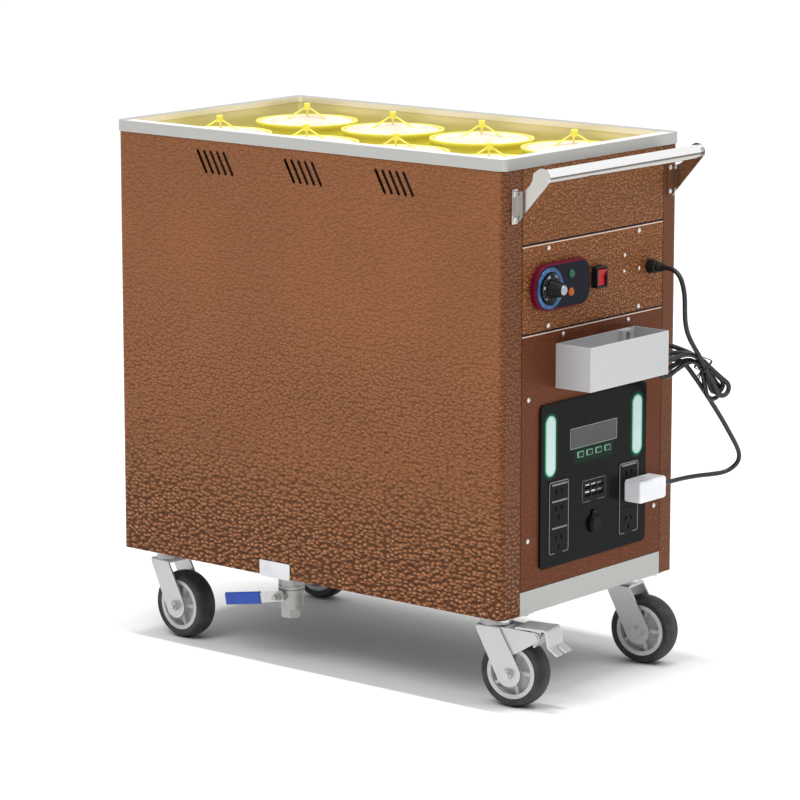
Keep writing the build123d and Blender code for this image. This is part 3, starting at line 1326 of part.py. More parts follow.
def fork(name):
    """A pressed fork with its swivel cap and fixed axle; one carries the brake's cheeks."""
    inner = FORK_INNER / 2
    outer = inner + FORK_SHEET
    crown_under = CROWN_TOP - CROWN_THICKNESS
    race_bottom = CASTER_HEIGHT - CASTER_PLATE[2] - RACE_HEIGHT
    crown = block((FORK_BACK, FORK_FRONT), (-outer, outer), (crown_under, CROWN_TOP))
    crown = fillet(crown.edges().filter_by(Axis.X).sort_by(Axis.Z)[-2:], FORK_SHEET)
    cap = CROWN_CAP_DIAMETER / 2
    swivel_top = race_bottom - SWIVEL_GAP
    cap_bottom = CROWN_TOP - 1.0
    cap_outline = [(0, cap_bottom), (cap, cap_bottom), (cap - 3.0, swivel_top), (0, swivel_top)]
    crown += turned_z((0, 0), cap_outline)
    head = Pos((FORK_BACK + FORK_FRONT) / 2, crown_under - FORK_SHEET / 2)
    head *= Rectangle(FORK_FRONT - FORK_BACK, FORK_SHEET)
    leg = hull(head, Pos(TRAIL, axle_height()) * Circle(FORK_FOOT_RADIUS))
    axle_at = (TRAIL, axle_height())
    for side in (-1, 1):
        sheet = sorted((side * inner, side * outer))
        crown += prism_y(leg, *sheet)
        nut = sorted((side * outer, side * (outer + AXLE_NUT_HEIGHT)))
        crown += prism_y(Pos(*axle_at) * RegularPolygon(AXLE_NUT / 2, 6), *nut)
    tip = outer + AXLE_NUT_HEIGHT + AXLE_TIP
    crown += rod_y(axle_at, AXLE_DIAMETER / 2, -tip, tip)
    crown -= rod_z((0, 0), KING_PIN_DIAMETER / 2 + RUNNING_CLEARANCE, crown_under, swivel_top)
    if name == "handle_left":
        hole = BRAKE_PIN_DIAMETER / 2 + RUNNING_CLEARANCE
        cheek = brake_cheek_outline() - Pos(*BRAKE_PIVOT) * Circle(hole)
        for side in (-1, 1):
            crown += prism_y(cheek, *sorted((side * (inner - BRAKE_CHEEK), side * inner)))
    return caster_placed(name, crown)


def wheel(name):
    """A moulded wheel core with ribs, and a tyre bonded round it."""
    ring = WHEEL_RING_DIAMETER / 2
    ring_inner = ring - WHEEL_RING_WALL
    hub = HUB_DIAMETER / 2
    bore = AXLE_DIAMETER / 2 + RUNNING_CLEARANCE
    hub_half = FORK_INNER / 2 - HUB_CLEARANCE
    web = WEB_THICKNESS / 2
    ring_half = WHEEL_RING_WIDTH / 2
    half_outline = [(bore, hub_half), (hub, hub_half), (hub, web)]
    half_outline += [(ring_inner, web), (ring_inner, ring_half), (ring, ring_half)]
    outline = half_outline + [(radius, -across) for radius, across in reversed(half_outline)]
    core = revolve(make_face(Polyline(*outline, close=True)), Axis.Y)
    rib_middle = (hub + ring_inner) / 2
    rib = Pos(rib_middle, 0, 0) * Box(ring_inner - hub + WHEEL_RING_WALL / 3, RIB_WIDTH, RIB_THICKNESS)
    for index in range(WHEEL_RIBS):
        core += Rot(0, index * 360 / WHEEL_RIBS, 0) * rib
    half = TYRE_WIDTH / 2
    crown = WHEEL_DIAMETER / 2
    shoulder = crown - TYRE_CROWN
    edge = half - TYRE_SHOULDER
    bevel = crown - TYRE_BEVEL
    side_line = Polyline((shoulder, -edge), (bevel, -half), (ring, -ring_half), (ring, ring_half))
    other_side = Polyline((ring, ring_half), (bevel, half), (shoulder, edge))
    tread = ThreePointArc((shoulder, edge), (crown, 0), (shoulder, -edge))
    tyre = revolve(make_face(side_line + other_side + tread), Axis.Y)
    at = Pos(TRAIL, 0, axle_height())
    return group(caster_placed(name, at * solid) for solid in (core, tyre))


def brake_pedal():
    """A bent sheet pedal on a pin, with lugs and a shoe that meets the tyre."""
    inner = FORK_INNER / 2
    path = FilletPolyline(*[(x, 0, z) for x, z in PEDAL_LINE], radius=PEDAL_BEND)
    start = Plane(origin=path @ 0, x_dir=(0, 1, 0), z_dir=path % 0)
    pedal = sweep(start * Rectangle(PEDAL_WIDTH, PEDAL_SHEET), path=path)
    tip_x = PEDAL_LINE[-1][0]
    tip_z = PEDAL_LINE[-1][1]
    notch_depth, notch_width = PEDAL_NOTCH
    reach = PEDAL_SHEET * 2
    notch_y = (-notch_width / 2, notch_width / 2)
    pedal -= block((tip_x - notch_depth, tip_x + reach), notch_y, (tip_z - reach, tip_z + notch_depth))
    pin = BRAKE_PIN_DIAMETER / 2
    lug_top = PEDAL_LINE[0][1]
    lug_edge = Pos(BRAKE_PIVOT[0], lug_top) * Rectangle(16.0, 1.0)
    lug = hull(lug_edge, Pos(*BRAKE_PIVOT) * Circle(2 * pin))
    lug_outer = inner - BRAKE_CHEEK - FIT_CLEARANCE * 2
    for side in (-1, 1):
        pedal += prism_y(lug, *sorted((side * (lug_outer - PEDAL_LUG), side * lug_outer)))
    wheel_turn = math.atan2(axle_height() - BRAKE_PIVOT[1], TRAIL - BRAKE_PIVOT[0])
    shoe_turn = wheel_turn + math.radians(BRAKE_PRESS)
    shoe_radius = 2.0
    shoe_arm = BRAKE_SHOE_REACH - shoe_radius
    shoe_x = BRAKE_PIVOT[0] + shoe_arm * math.cos(shoe_turn)
    shoe_z = BRAKE_PIVOT[1] + shoe_arm * math.sin(shoe_turn)
    shoe = hull(Pos(*BRAKE_PIVOT) * Circle(1.6 * pin), Pos(shoe_x, shoe_z) * Circle(shoe_radius))
    pedal += prism_y(shoe, -BRAKE_SHOE_WIDTH / 2, BRAKE_SHOE_WIDTH / 2)
    head = inner + SWIVEL_GAP
    pedal += rod_y(BRAKE_PIVOT, pin, -head, head)
    for side in (-1, 1):
        pedal += rod_y(BRAKE_PIVOT, BRAKE_PIN_HEAD / 2, *sorted((side * head, side * (head + 1.2))))
    return caster_placed("handle_left", pedal)


# Fasteners


def fasteners():
    """All panel screws and caster bolts."""
    handle_face = END_X + HANDLE_PLATE
    screws = [screw(at, END_X) for at in CONTROL_SCREWS + LOWER_SCREWS]
    screws += [screw(at, END_X, SMALL_SCREW_HEAD) for at in SMALL_SCREWS]
    screws += [screw(at, handle_face) for at in handle_screw_places()]
    screws += [screw(at, END_X + TRAY_SHEET) for at in tray_screw_places()]
    screws += [screw(at, -END_X, side=-1) for at in REAR_SCREWS]
    return group(screws + [caster_bolt(at) for at in caster_bolt_places()])


# Power cord


def from_face(point):
    """A cord point with its x moved from the end panels' face to the body's middle."""
    return Vector(END_X + point[0], point[1], point[2])


def upper_route():
    """From the gland down to the waist of the hank."""
    start = Vector(END_X + GLAND_LENGTH, *GLAND_AT)
    lead = start + Vector(CORD_LEAD, 0, 0)
    waist = hank_point(HANK_WAIST, HANK_WAIST_ANGLE - 90, HANK_FRONT + HANK_ENTRY)
    return [start, lead] + [from_face(point) for point in CORD_UPPER] + [waist]


def lower_route():
    """From the back of the hank down and round to the plug."""
    along, up, normal = hank_frame()
    stack = HANK_FRONT - HANK_LOOPS * HANK_PITCH
    leave = from_face(HANK_AT) + along * HANK_EXIT[0] + up * HANK_EXIT[1] + normal * stack
    end = Vector(plug_x() + PLUG_SIZE[0] / 2, PLUG_AT[0] + PLUG_SIZE[1] / 2, PLUG_AT[1])
    lead = end + Vector(0, 2 * CORD_LEAD, 0)
    return [leave] + [from_face(point) for point in CORD_LOWER] + [lead, end]


def cord_radii(points):
    """The largest arc that fits at each corner of a cord's route."""
    radii = []
    for before, at, after in zip(points, points[1:], points[2:]):
        run_in = at - before
        run_out = after - at
        half_turn = math.radians(run_in.get_angle(run_out)) / 2
        radii.append(0.45 * min(run_in.length, run_out.length) / math.tan(half_turn))
    return radii


def cord_tube(name, points):
    """A round cord on straight runs joined by tangent arcs."""
    radii = cord_radii(points)
    path = FilletPolyline(*points, radius=radii)
    heading = points[1] - points[0]
    tube = sweep(Plane(origin=points[0], z_dir=heading) * Circle(CORD_DIAMETER / 2), path=path)
    expected = path.length * math.pi * CORD_DIAMETER**2 / 4
    print(name, "radii", [round(radius) for radius in radii])
    print(name, "length", round(path.length, 1))
    print(name, "volume over section times length", round(tube.volume / expected, 4))
    return tube


def biarc(start, start_dir, end, end_dir):
    """Two arcs that leave start and reach end along the given directions."""
    chord = end - start
    bend = 2.0 * (1.0 - start_dir.dot(end_dir))
    along = chord.dot(start_dir + end_dir)
    reach = (math.sqrt(along**2 + bend * chord.dot(chord)) - along) / bend
    knee_in = start + start_dir * reach
    knee_out = end - end_dir * reach
    middle = (knee_in + knee_out) * 0.5
    first = TangentArc(start, middle, tangent=start_dir)
    return [first, TangentArc(middle, end, tangent=knee_out - knee_in)]


def hank_frame():
    """The hank's plane: along it, up, and the normal that its loops are stacked on."""
    turn = math.radians(HANK_HEADING)
    along = Vector(math.cos(turn), math.sin(turn), 0)
    up = Vector(0, 0, 1)
    return along, up, along.cross(up)


def hank_point(reach, angle, stack):
    along, up, normal = hank_frame()
    turn = math.radians(angle)
    spread = along * (reach * math.cos(turn)) + up * (reach * math.sin(turn))
    return from_face(HANK_AT) + spread + normal * stack


def hank_heading(angle):
    along, up, normal = hank_frame()
    turn = math.radians(angle)
    return along * math.cos(turn) + up * math.sin(turn)


def hank_path():
    """Loops to the right and left in turn, each a layer further back, drawn in at the waist."""
    stops = []
    for loop in range(HANK_LOOPS):
        stack = HANK_FRONT - loop * HANK_PITCH
        if loop > 0:
            waist = hank_point(HANK_WAIST, HANK_WAIST_ANGLE - 90, stack)
            stops.append((waist, hank_heading(HANK_WAIST_ANGLE)))
        right = RIGHT_ANGLE[loop]
        tip = hank_point(RIGHT_REACH[loop], right, stack - HANK_PITCH * 0.25)
        stops.append((tip, hank_heading(right + 90)))
        waist = hank_point(HANK_WAIST, HANK_WAIST_ANGLE + 90, stack - HANK_PITCH * 0.5)
        stops.append((waist, hank_heading(HANK_WAIST_ANGLE + 180)))
        left = LEFT_ANGLE[loop]
        tip = hank_point(LEFT_REACH[loop], left, stack - HANK_PITCH * 0.75)
        stops.append((tip, hank_heading(left + 90)))
    before, start = upper_route()[-2:]
    end, after = lower_route()[:2]
    stops.insert(0, (start, (start - before).normalized()))
    stops.append((end, (after - end).normalized()))
    arcs = []
    for (start, start_dir), (end, end_dir) in zip(stops, stops[1:]):
        arcs += biarc(start, start_dir, end, end_dir)
    return arcs


def least_gap(path, samples=1400):
    """The least clear distance between parts of a cord that are not neighbours along it."""
    points = np.array([tuple(path @ (index / samples)) for index in range(samples + 1)])
    step = path.length / samples
    skip = int(3 * CORD_DIAMETER / step)
    apart = [
        np.linalg.norm(points[index + skip:] - points[index], axis=1).min()
        for index in range(samples - skip)
    ]
    return min(apart) - CORD_DIAMETER


def cord_hank():
    arcs = hank_path()
    path = Wire(arcs)
    print("cord_hank length", round(path.length, 1), "least gap", round(least_gap(path), 2))
    print("cord_hank least arc", round(min(arc.radius for arc in arcs), 1))
    start = Plane(origin=path @ 0, z_dir=path % 0)
    return sweep(start * Circle(CORD_DIAMETER / 2), path=path)


def cord_tie():
    """A flat tie round the waist of the hank, with its two tails twisted up."""
    along, up, normal = hank_frame()
    heading = hank_heading(HANK_WAIST_ANGLE)
    front = HANK_FRONT + HANK_ENTRY
    back = HANK_FRONT - HANK_PITCH * (HANK_LOOPS - 0.5)
    middle_stack = (front + back) / 2
    half_stack = (front - back) / 2 + CORD_DIAMETER / 2 + TIE_CLEARANCE
    half_waist = HANK_WAIST + CORD_DIAMETER / 2 + TIE_CLEARANCE
    plane = Plane(origin=from_face(HANK_AT) + normal * middle_stack, x_dir=normal, z_dir=heading)
    inner = RectangleRounded(2 * half_stack, 2 * half_waist, CORD_DIAMETER / 2)
    outer_size = (2 * (half_stack + TIE_SHEET), 2 * (half_waist + TIE_SHEET))
    outer = RectangleRounded(*outer_size, CORD_DIAMETER / 2 + TIE_SHEET)
    band = extrude(plane * (outer - inner), TIE_WIDTH / 2, both=True)
    for lean in (-18, 18):
        root = Pos(half_stack * 0.4, half_waist + TIE_SHEET / 2) * Rot(0, 0, lean)
        tail = root * (Pos(0, TIE_TAIL / 2) * Rectangle(TIE_SHEET, TIE_TAIL))
        band += extrude(plane * tail, TIE_SHEET, both=True)
    return band


def plug_x():
    """The face of the sockets, where the plug sits."""
    return power_front() + SOCKET_PROUD


def plug():
    """A right-angled plug with its pins in a middle socket and the cord leaving its end."""
    y, z = PLUG_AT
    back = plug_x()
    body = Pos(back + PLUG_SIZE[0] / 2, y, z) * Box(*PLUG_SIZE)
    body = fillet(body.edges().filter_by(Axis.X), PLUG_RADIUS)
    body = fillet(body.faces().sort_by(Axis.X)[-1].edges(), PLUG_RADIUS * 0.6)
    socket_y, socket_z = socket_places()[1]
    for pin in pin_slots(1, FIT_CLEARANCE):
        body += prism_x(Pos(socket_y, socket_z + SOCKET_ROWS[1]) * pin, back - PIN_LENGTH, back + 1.0)
    return body


# Every node by name


def build_nodes():
    nodes = {
        "base_pan": base_pan(),
        "side_panel_left": side_panel(-1),
        "side_panel_right": side_panel(1),
        "rear_panel": rear_panel(),
        "end_top_panel": end_top_panel(),
        "control_panel": control_panel(),
        "lower_panel": lower_panel(),
        "cross_rails": cross_rails(),
        "top_rim": top_rim(),
        "fasteners": fasteners(),
        "tank": tank(),
        "steam_rack": steam_rack(),
        "heating_element": heating_element(),
        "thermostat_plate": thermostat_plate(),
        "thermostat_body": thermostat_body(),
        "thermostat_knob": thermostat_knob(),
        "indicator_lamps": indicator_lamps(),
        "rocker_housing": rocker_housing(),
        "power_rocker": power_rocker(),
        "cable_gland": cable_gland(),
        "power_unit": power_unit(),
        "power_panel": power_panel(),
        "led_strips": led_strips(),
        "lcd_window": lcd_window(),
        "outlet_sockets": outlet_sockets(),
        "dc_sockets": dc_sockets(),
        "tray": tray(),
        "handle_brackets": handle_brackets(),
        "handle_tube": handle_tube(),
        "valve_body": valve_body(),
        "valve_stem": valve_stem(),
        "valve_lever": valve_lever(),
        "lever_sleeve": lever_sleeve(),
        "caster_plates": caster_plates(),
        "brake_pedal": brake_pedal(),
        "cord_upper": cord_tube("cord_upper", upper_route()),
        "cord_hank": cord_hank(),
        "cord_lower": cord_tube("cord_lower", lower_route()),
        "cord_tie": cord_tie(),
        "plug": plug(),
    }
    for number, at in enumerate(button_places(), start=1):
        nodes[f"power_button_{number}"] = power_button(at)
    for number, centre in enumerate(BASKET_CENTRES, start=1):
        nodes[f"basket_{number}"] = basket(centre)
    for name in CASTER_CENTRES:
        nodes[f"fork_{name}"] = fork(name)
        nodes[f"wheel_{name}"] = wheel(name)
    return nodes


def solids_of(node):
    return node if isinstance(node, list) else [node]


def outline_shift(nodes):
    """The move that puts the origin under the middle of the cart, its cord left out."""
    body = [solid for name, node in nodes.items() if name not in CORD_NODES for solid in solids_of(node)]
    boxes = [solid.bounding_box() for solid in body]
    middle_x = (min(box.min.X for box in boxes) + max(box.max.X for box in boxes)) / 2
    middle_y = (min(box.min.Y for box in boxes) + max(box.max.Y for box in boxes)) / 2
    return Pos(-middle_x, -middle_y, 0)


os.makedirs("parts", exist_ok=True)
nodes = build_nodes()
shift = outline_shift(nodes)
print("moved by", tuple(round(value, 4) for value in shift.position))
for name, node in nodes.items():
    moved = [shift * solid for solid in solids_of(node)]
    export_step(Compound(children=moved) if len(moved) > 1 else moved[0], f"parts/{name}.step")
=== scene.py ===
import json
import math

import bpy
from mathutils import Matrix, Vector


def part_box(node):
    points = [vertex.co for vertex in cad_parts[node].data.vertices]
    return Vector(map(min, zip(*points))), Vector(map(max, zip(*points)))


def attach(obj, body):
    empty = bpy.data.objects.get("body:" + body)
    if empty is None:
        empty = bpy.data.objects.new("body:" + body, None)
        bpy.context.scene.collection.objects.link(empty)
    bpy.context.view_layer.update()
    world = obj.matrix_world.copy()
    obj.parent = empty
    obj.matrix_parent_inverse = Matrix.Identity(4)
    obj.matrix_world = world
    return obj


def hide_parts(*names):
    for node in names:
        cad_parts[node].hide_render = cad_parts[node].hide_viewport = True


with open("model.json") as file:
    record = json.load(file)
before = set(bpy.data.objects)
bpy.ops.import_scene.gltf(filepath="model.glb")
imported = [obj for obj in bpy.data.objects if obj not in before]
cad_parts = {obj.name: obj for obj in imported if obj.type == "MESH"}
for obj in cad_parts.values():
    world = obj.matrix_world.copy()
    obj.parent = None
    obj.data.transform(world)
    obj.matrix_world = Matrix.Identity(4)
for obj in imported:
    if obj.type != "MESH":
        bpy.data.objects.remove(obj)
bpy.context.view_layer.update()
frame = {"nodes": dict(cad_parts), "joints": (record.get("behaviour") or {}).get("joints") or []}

# The copper body: two long sides, a rear sheet and three end panels, all of hammered copper sheet.
# The long sides are folded round the corners, and the end panels are screwed on behind the folds.
# The hammering was rolled in before cutting, and it is coarser and deeper towards the floor.


def put(tree, kind, links=None, **settings):
    """A shader node with its settings, and with values or other nodes' sockets on its inputs."""
    node = tree.nodes.new("ShaderNode" + kind)
    for name, value in settings.items():
        setattr(node, name, value)
    for socket, value in (links or {}).items():
        if isinstance(value, bpy.types.NodeSocket):
            tree.links.new(value, node.inputs[socket])
        else:
            node.inputs[socket].default_value = value
    return node


def recipe(name, takes, gives):
    """A shared effect as a node group, with the sockets that it takes and gives."""
    group = bpy.data.node_groups.new(name, "ShaderNodeTree")
    for label, kind in takes.items():
        group.interface.new_socket(label, in_out="INPUT", socket_type="NodeSocket" + kind)
    for label in gives:
        group.interface.new_socket(label, in_out="OUTPUT", socket_type="NodeSocketFloat")
    return group, group.nodes.new("NodeGroupInput").outputs, group.nodes.new("NodeGroupOutput").inputs


def sums(tree, kind, first, second=0.0, third=0.0):
    """The result of a sum on one to three values."""
    return put(tree, "Math", {0: first, 1: second, 2: third}, operation=kind).outputs[0]


def remap(tree, value, low, high, start=0.0, end=1.0):
    """A value eased from start to end while it goes from low to high."""
    ends = {0: value, 1: low, 2: high, 3: start, 4: end}
    return put(tree, "MapRange", ends, interpolation_type="SMOOTHSTEP").outputs[0]


def between(tree, mask, first, second):
    """A value between two others, by a mask."""
    return put(tree, "Mix", {0: mask, 2: first, 3: second}).outputs[0]


def tint(tree, mask, first, second):
    """A colour between two others, by a mask."""
    return put(tree, "Mix", {0: mask, 6: first, 7: second}, data_type="RGBA").outputs[2]


def axes_of(tree, vector):
    """The parts of a vector along the three axes."""
    return put(tree, "SeparateXYZ", {0: vector}).outputs


def paint(red, green, blue, share=1.0):
    """A shader colour from screen values of 0 to 255, and a share of its brightness."""
    levels = [value / 255 for value in (red, green, blue)]
    return (*[share * (v / 12.92 if v < 0.04 else ((v + 0.055) / 1.055) ** 2.4) for v in levels], 1.0)


def finish(name, colour, roughness, metallic=0.0):
    """A material at the plain values of a finish, with its nodes, shader and object coordinates."""
    material = bpy.data.materials.new(name)
    material.use_nodes = True
    tree = material.node_tree
    shader = tree.nodes["Principled BSDF"]
    shader.inputs["Base Color"].default_value = colour
    shader.inputs["Roughness"].default_value = roughness
    shader.inputs["Metallic"].default_value = metallic
    return material, tree, shader, put(tree, "TexCoord").outputs["Object"]


def emboss(tree, shader, height, depth):
    """Raises a finish by a height of 0 to 1 over a depth in metres."""
    raised = put(tree, "Bump", {"Height": height, "Distance": depth})
    tree.links.new(raised.outputs["Normal"], shader.inputs["Normal"])


def dress(material, *names):
    """Puts a finish on solids of the frame."""
    for name in names:
        mesh = frame["nodes"][name].data
        mesh.materials.clear()
        mesh.materials.append(material)


hammering, takes, gives = recipe(
    "hammering", {"Vector": "Vector", "Pebble": "Float"}, ["Height", "Slope", "Groove", "Crest"]
)
axes = axes_of(hammering, takes["Vector"])
flat = {"X": sums(hammering, "ADD", axes["X"], axes["Y"]), "Y": axes["Z"]}
flat = put(hammering, "CombineXYZ", flat).outputs[0]
drift = put(hammering, "TexNoise", {"Vector": flat, "Scale": 110.0, "Detail": 1.0})
drift = put(hammering, "VectorMath", {0: drift.outputs[1], 1: (0.5, 0.5, 0.5)}, operation="SUBTRACT")
shifted = {0: drift.outputs[0], 1: (0.006, 0.006, 0.006), 2: flat}
shifted = put(hammering, "VectorMath", shifted, operation="MULTIPLY_ADD")
density = sums(hammering, "DIVIDE", 1.0, takes["Pebble"])
spaced = put(hammering, "VectorMath", {0: shifted.outputs[0], "Scale": density}, operation="SCALE")
# The slope compares each dent's height with the height just above it, for painted light and shade on the
# flanks.
above = put(hammering, "VectorMath", {0: spaced.outputs[0], 1: (0.0, 0.3, 0.0)}, operation="ADD")
heights = []
for spot in (above, spaced):
    pebbles = {"Vector": spot.outputs[0], "Scale": 1.0, "Smoothness": 0.3, "Randomness": 0.8}
    pebbles = put(hammering, "TexVoronoi", pebbles, feature="SMOOTH_F1", voronoi_dimensions="2D").outputs
    reach = pebbles["Distance"]
    heights.append(remap(hammering, reach, 0.66, 0.04))
lively = put(hammering, "SeparateColor", {0: pebbles["Color"]}).outputs[0]
lively = remap(hammering, lively, 0.3, 0.6)
crest = sums(hammering, "MULTIPLY", lively, remap(hammering, reach, 0.26, 0.06))
hammering.links.new(heights[1], gives["Height"])
hammering.links.new(sums(hammering, "SUBTRACT", heights[1], heights[0]), gives["Slope"])
hammering.links.new(remap(hammering, reach, 0.4, 0.56), gives["Groove"])
hammering.links.new(crest, gives["Crest"])

handling, takes, gives = recipe("handling", {"Vector": "Vector", "Size": "Float"}, ["Smudge"])
density = sums(handling, "DIVIDE", 1.0, takes["Size"])
cloudy = put(handling, "TexNoise", {"Vector": takes["Vector"], "Scale": density, "Detail": 4.0})
handling.links.new(remap(handling, cloudy.outputs[0], 0.35, 0.68), gives["Smudge"])


COARSE_BELOW = (0.45, 0.2)
DEEPER_BELOW = (0.62, 0.15)
FOOT_BELOW = (0.34, 0.13)
FINE_PEBBLE = 0.0046
COARSE_PEBBLE = 0.006
DENT_DEPTH = 0.0016


def copper_sheet(name, tone, weak, strong, sparkle, calm=0.0, creased=0.6):
    """Hammered copper whose relief grows from weak near the rim to strong near the floor."""
    material, tree, shader, place = finish(name, paint(*tone), 0.42, 0.35)
    shader.inputs["Specular IOR Level"].default_value = 0.12
    level = axes_of(tree, place)["Z"]
    facing = axes_of(tree, put(tree, "NewGeometry").outputs["True Normal"])["X"]
    fold = remap(tree, facing, 0.1, 0.8)
    low = remap(tree, level, *COARSE_BELOW)
    swell = remap(tree, level, *DEEPER_BELOW, weak, strong)
    fold = sums(tree, "MULTIPLY", fold, calm)
    swell = between(tree, fold, swell, creased)
    broad = put(tree, "Mapping", {"Vector": place, "Scale": (0.72, 0.72, 1.0)}).outputs[0]
    fine = put(tree, "Group", {"Vector": broad, "Pebble": FINE_PEBBLE}, node_tree=hammering).outputs
    coarse = put(tree, "Group", {"Vector": broad, "Pebble": COARSE_PEBBLE}, node_tree=hammering).outputs
    smudge = put(tree, "Group", {"Vector": place, "Size": 0.16}, node_tree=handling).outputs[0]
    colour = tint(tree, smudge, paint(*tone, share=0.95), paint(*tone, share=1.05))
    # Painted shade: the corner fold, which faces the end, is darkened.
    colour = tint(tree, fold, colour, paint(104, 61, 38))
    foot = sums(tree, "MULTIPLY", remap(tree, level, *FOOT_BELOW), strong)
    foot = sums(tree, "MULTIPLY", foot, between(tree, fold, 1.0, creased))
    colour = tint(tree, sums(tree, "MULTIPLY", foot, 0.55), colour, paint(*tone, share=0.5))
    # Painted light and shade: flanks that face up are lightened and flanks that face down darkened, as if
    # lit from above.
    slope = between(tree, low, fine["Slope"], coarse["Slope"])
    painted_light_flank = sums(tree, "MULTIPLY", remap(tree, slope, 0.0, 0.6), swell)
    painted_shade_flank = sums(tree, "MULTIPLY", remap(tree, slope, 0.0, -0.6), swell)
    colour = tint(tree, sums(tree, "MULTIPLY", painted_light_flank, 0.55), colour, paint(*tone, share=1.6))
    colour = tint(tree, painted_shade_flank, colour, paint(*tone, share=0.22))
    # Painted shade: the hollows between the dents are darkened, more where the relief is deeper.
    groove_shade = between(tree, low, fine["Groove"], coarse["Groove"])
    groove_shade = sums(tree, "MULTIPLY", groove_shade, sums(tree, "MULTIPLY", swell, 0.75))
    colour = tint(tree, groove_shade, colour, paint(*tone, share=0.2))
    # Painted highlight: pale glints on the crests of the dents, set by the sparkle and stronger towards the
    # floor.
    crest = between(tree, low, fine["Crest"], coarse["Crest"])
    painted_glint = sums(tree, "MULTIPLY_ADD", foot, 0.5, sparkle)
    colour = tint(tree, sums(tree, "MULTIPLY", crest, painted_glint), colour, paint(232, 178, 140))
    tree.links.new(colour, shader.inputs["Base Color"])
    tree.links.new(between(tree, smudge, 0.38, 0.48), shader.inputs["Roughness"])
    dome = between(tree, low, fine["Height"], coarse["Height"])
    emboss(tree, shader, sums(tree, "MULTIPLY", dome, swell), DENT_DEPTH)
    return material, tree, shader, place, colour


SIDE_COPPER = ((140, 91, 59), 0.26, 0.95, 0.06)
dress(copper_sheet("hammered_copper", *SIDE_COPPER, calm=0.7)[0], "side_panel_left", "rear_panel")
right_side = copper_sheet("hammered_copper_right", *SIDE_COPPER, calm=0.95, creased=0.08)[0]
dress(right_side, "side_panel_right")


def edge_line(tree, value, edge, width):
    """A mask over a narrow strip along an edge of a sheet."""
    away = sums(tree, "ABSOLUTE", sums(tree, "SUBTRACT", value, edge))
    return remap(tree, away, 0.75 * width, width, 1.0, 0.0)


SEAM_NARROW = 0.0016
SEAM_SHADE = 0.0026
END_PANELS = {
    "end_top_panel": ((131, 81, 44), 0.38, 0.45),
    "control_panel": ((132, 80, 43), 0.42, 0.5),
    "lower_panel": ((102, 53, 27), 0.12, 0.04),
}
for name, (tone, relief, sparkle) in END_PANELS.items():
    panel, tree, shader, place, colour = copper_sheet("copper_" + name, tone, relief, relief, sparkle)
    lowest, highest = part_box(name)
    axes = axes_of(tree, place)
    if name != "end_top_panel":
        # Painted highlight along the panel's folded top edge.
        colour = tint(tree, edge_line(tree, axes["Z"], highest[2], SEAM_NARROW), colour, paint(236, 210, 194))
    if name != "lower_panel":
        # A dark line along the panel's bottom edge: the joint, widened by painted shadow under the edge.
        colour = tint(tree, edge_line(tree, axes["Z"], lowest[2], SEAM_SHADE), colour, paint(30, 14, 10))
    for side in (lowest[1], highest[1]):
        colour = tint(tree, edge_line(tree, axes["Y"], side, SEAM_NARROW), colour, paint(52, 26, 18))
    tree.links.new(colour, shader.inputs["Base Color"])
    dress(panel, name)

# The base pan, the rim and the rails behind the panel joints: satin stainless sheet, folded and welded.
# The rim is four lengths mitred at the corners, and its skirt hides the top edge of the copper.
# Brushing runs level round the body. The edges and the rim's top carry painted highlights, brightest on its
# near lengths.

brushing, takes, gives = recipe("brushing", {"Vector": "Vector", "Across": "Vector"}, ["Streak"])
spread = put(brushing, "VectorMath", {0: takes["Vector"], 1: takes["Across"]}, operation="MULTIPLY")
grain = put(brushing, "TexNoise", {"Vector": spread.outputs[0], "Scale": 1.0, "Detail": 3.0})
brushing.links.new(remap(brushing, grain.outputs[0], 0.3, 0.7), gives["Streak"])

worn_and_lit_edges, takes, gives = recipe("worn_and_lit_edges", {"Radius": "Float"}, ["Wear"])
softened = put(worn_and_lit_edges, "Bevel", {"Radius": takes["Radius"]}, samples=4)
straight = put(worn_and_lit_edges, "NewGeometry").outputs["Normal"]
agree = put(worn_and_lit_edges, "VectorMath", {0: softened.outputs[0], 1: straight}, operation="DOT_PRODUCT")
worn_and_lit_edges.links.new(remap(worn_and_lit_edges, agree.outputs["Value"], 0.995, 0.85), gives["Wear"])


def steel(name, tone, roughness, across, edge_radius=0.0008, metallic=0.85, grain=0.025):
    """Brushed metal, with its grain close across one way, wiped smudges, and edges brightened by wear and a
    painted highlight.
    """
    material, tree, shader, place = finish(name, paint(*tone), roughness, metallic)
    streak = put(tree, "Group", {"Vector": place, "Across": across}, node_tree=brushing).outputs[0]
    smudge = put(tree, "Group", {"Vector": place, "Size": 0.09}, node_tree=handling).outputs[0]
    wear_and_highlight = put(tree, "Group", {"Radius": edge_radius}, node_tree=worn_and_lit_edges).outputs[0]
    colour = tint(tree, streak, paint(*tone, share=1.0 - grain), paint(*tone, share=1.0 + grain))
    # Wear and painted highlight: the edges are brightened towards white.
    colour = tint(tree, sums(tree, "MULTIPLY", wear_and_highlight, 0.6), colour, paint(240, 240, 242))
    tree.links.new(colour, shader.inputs["Base Color"])
    rough = sums(tree, "MULTIPLY_ADD", streak, 2.0 * grain, roughness - grain)
    tree.links.new(sums(tree, "MULTIPLY_ADD", smudge, 0.06, rough), shader.inputs["Roughness"])
    emboss(tree, shader, streak, 0.0003 * grain)
    return material, tree, shader, place, colour


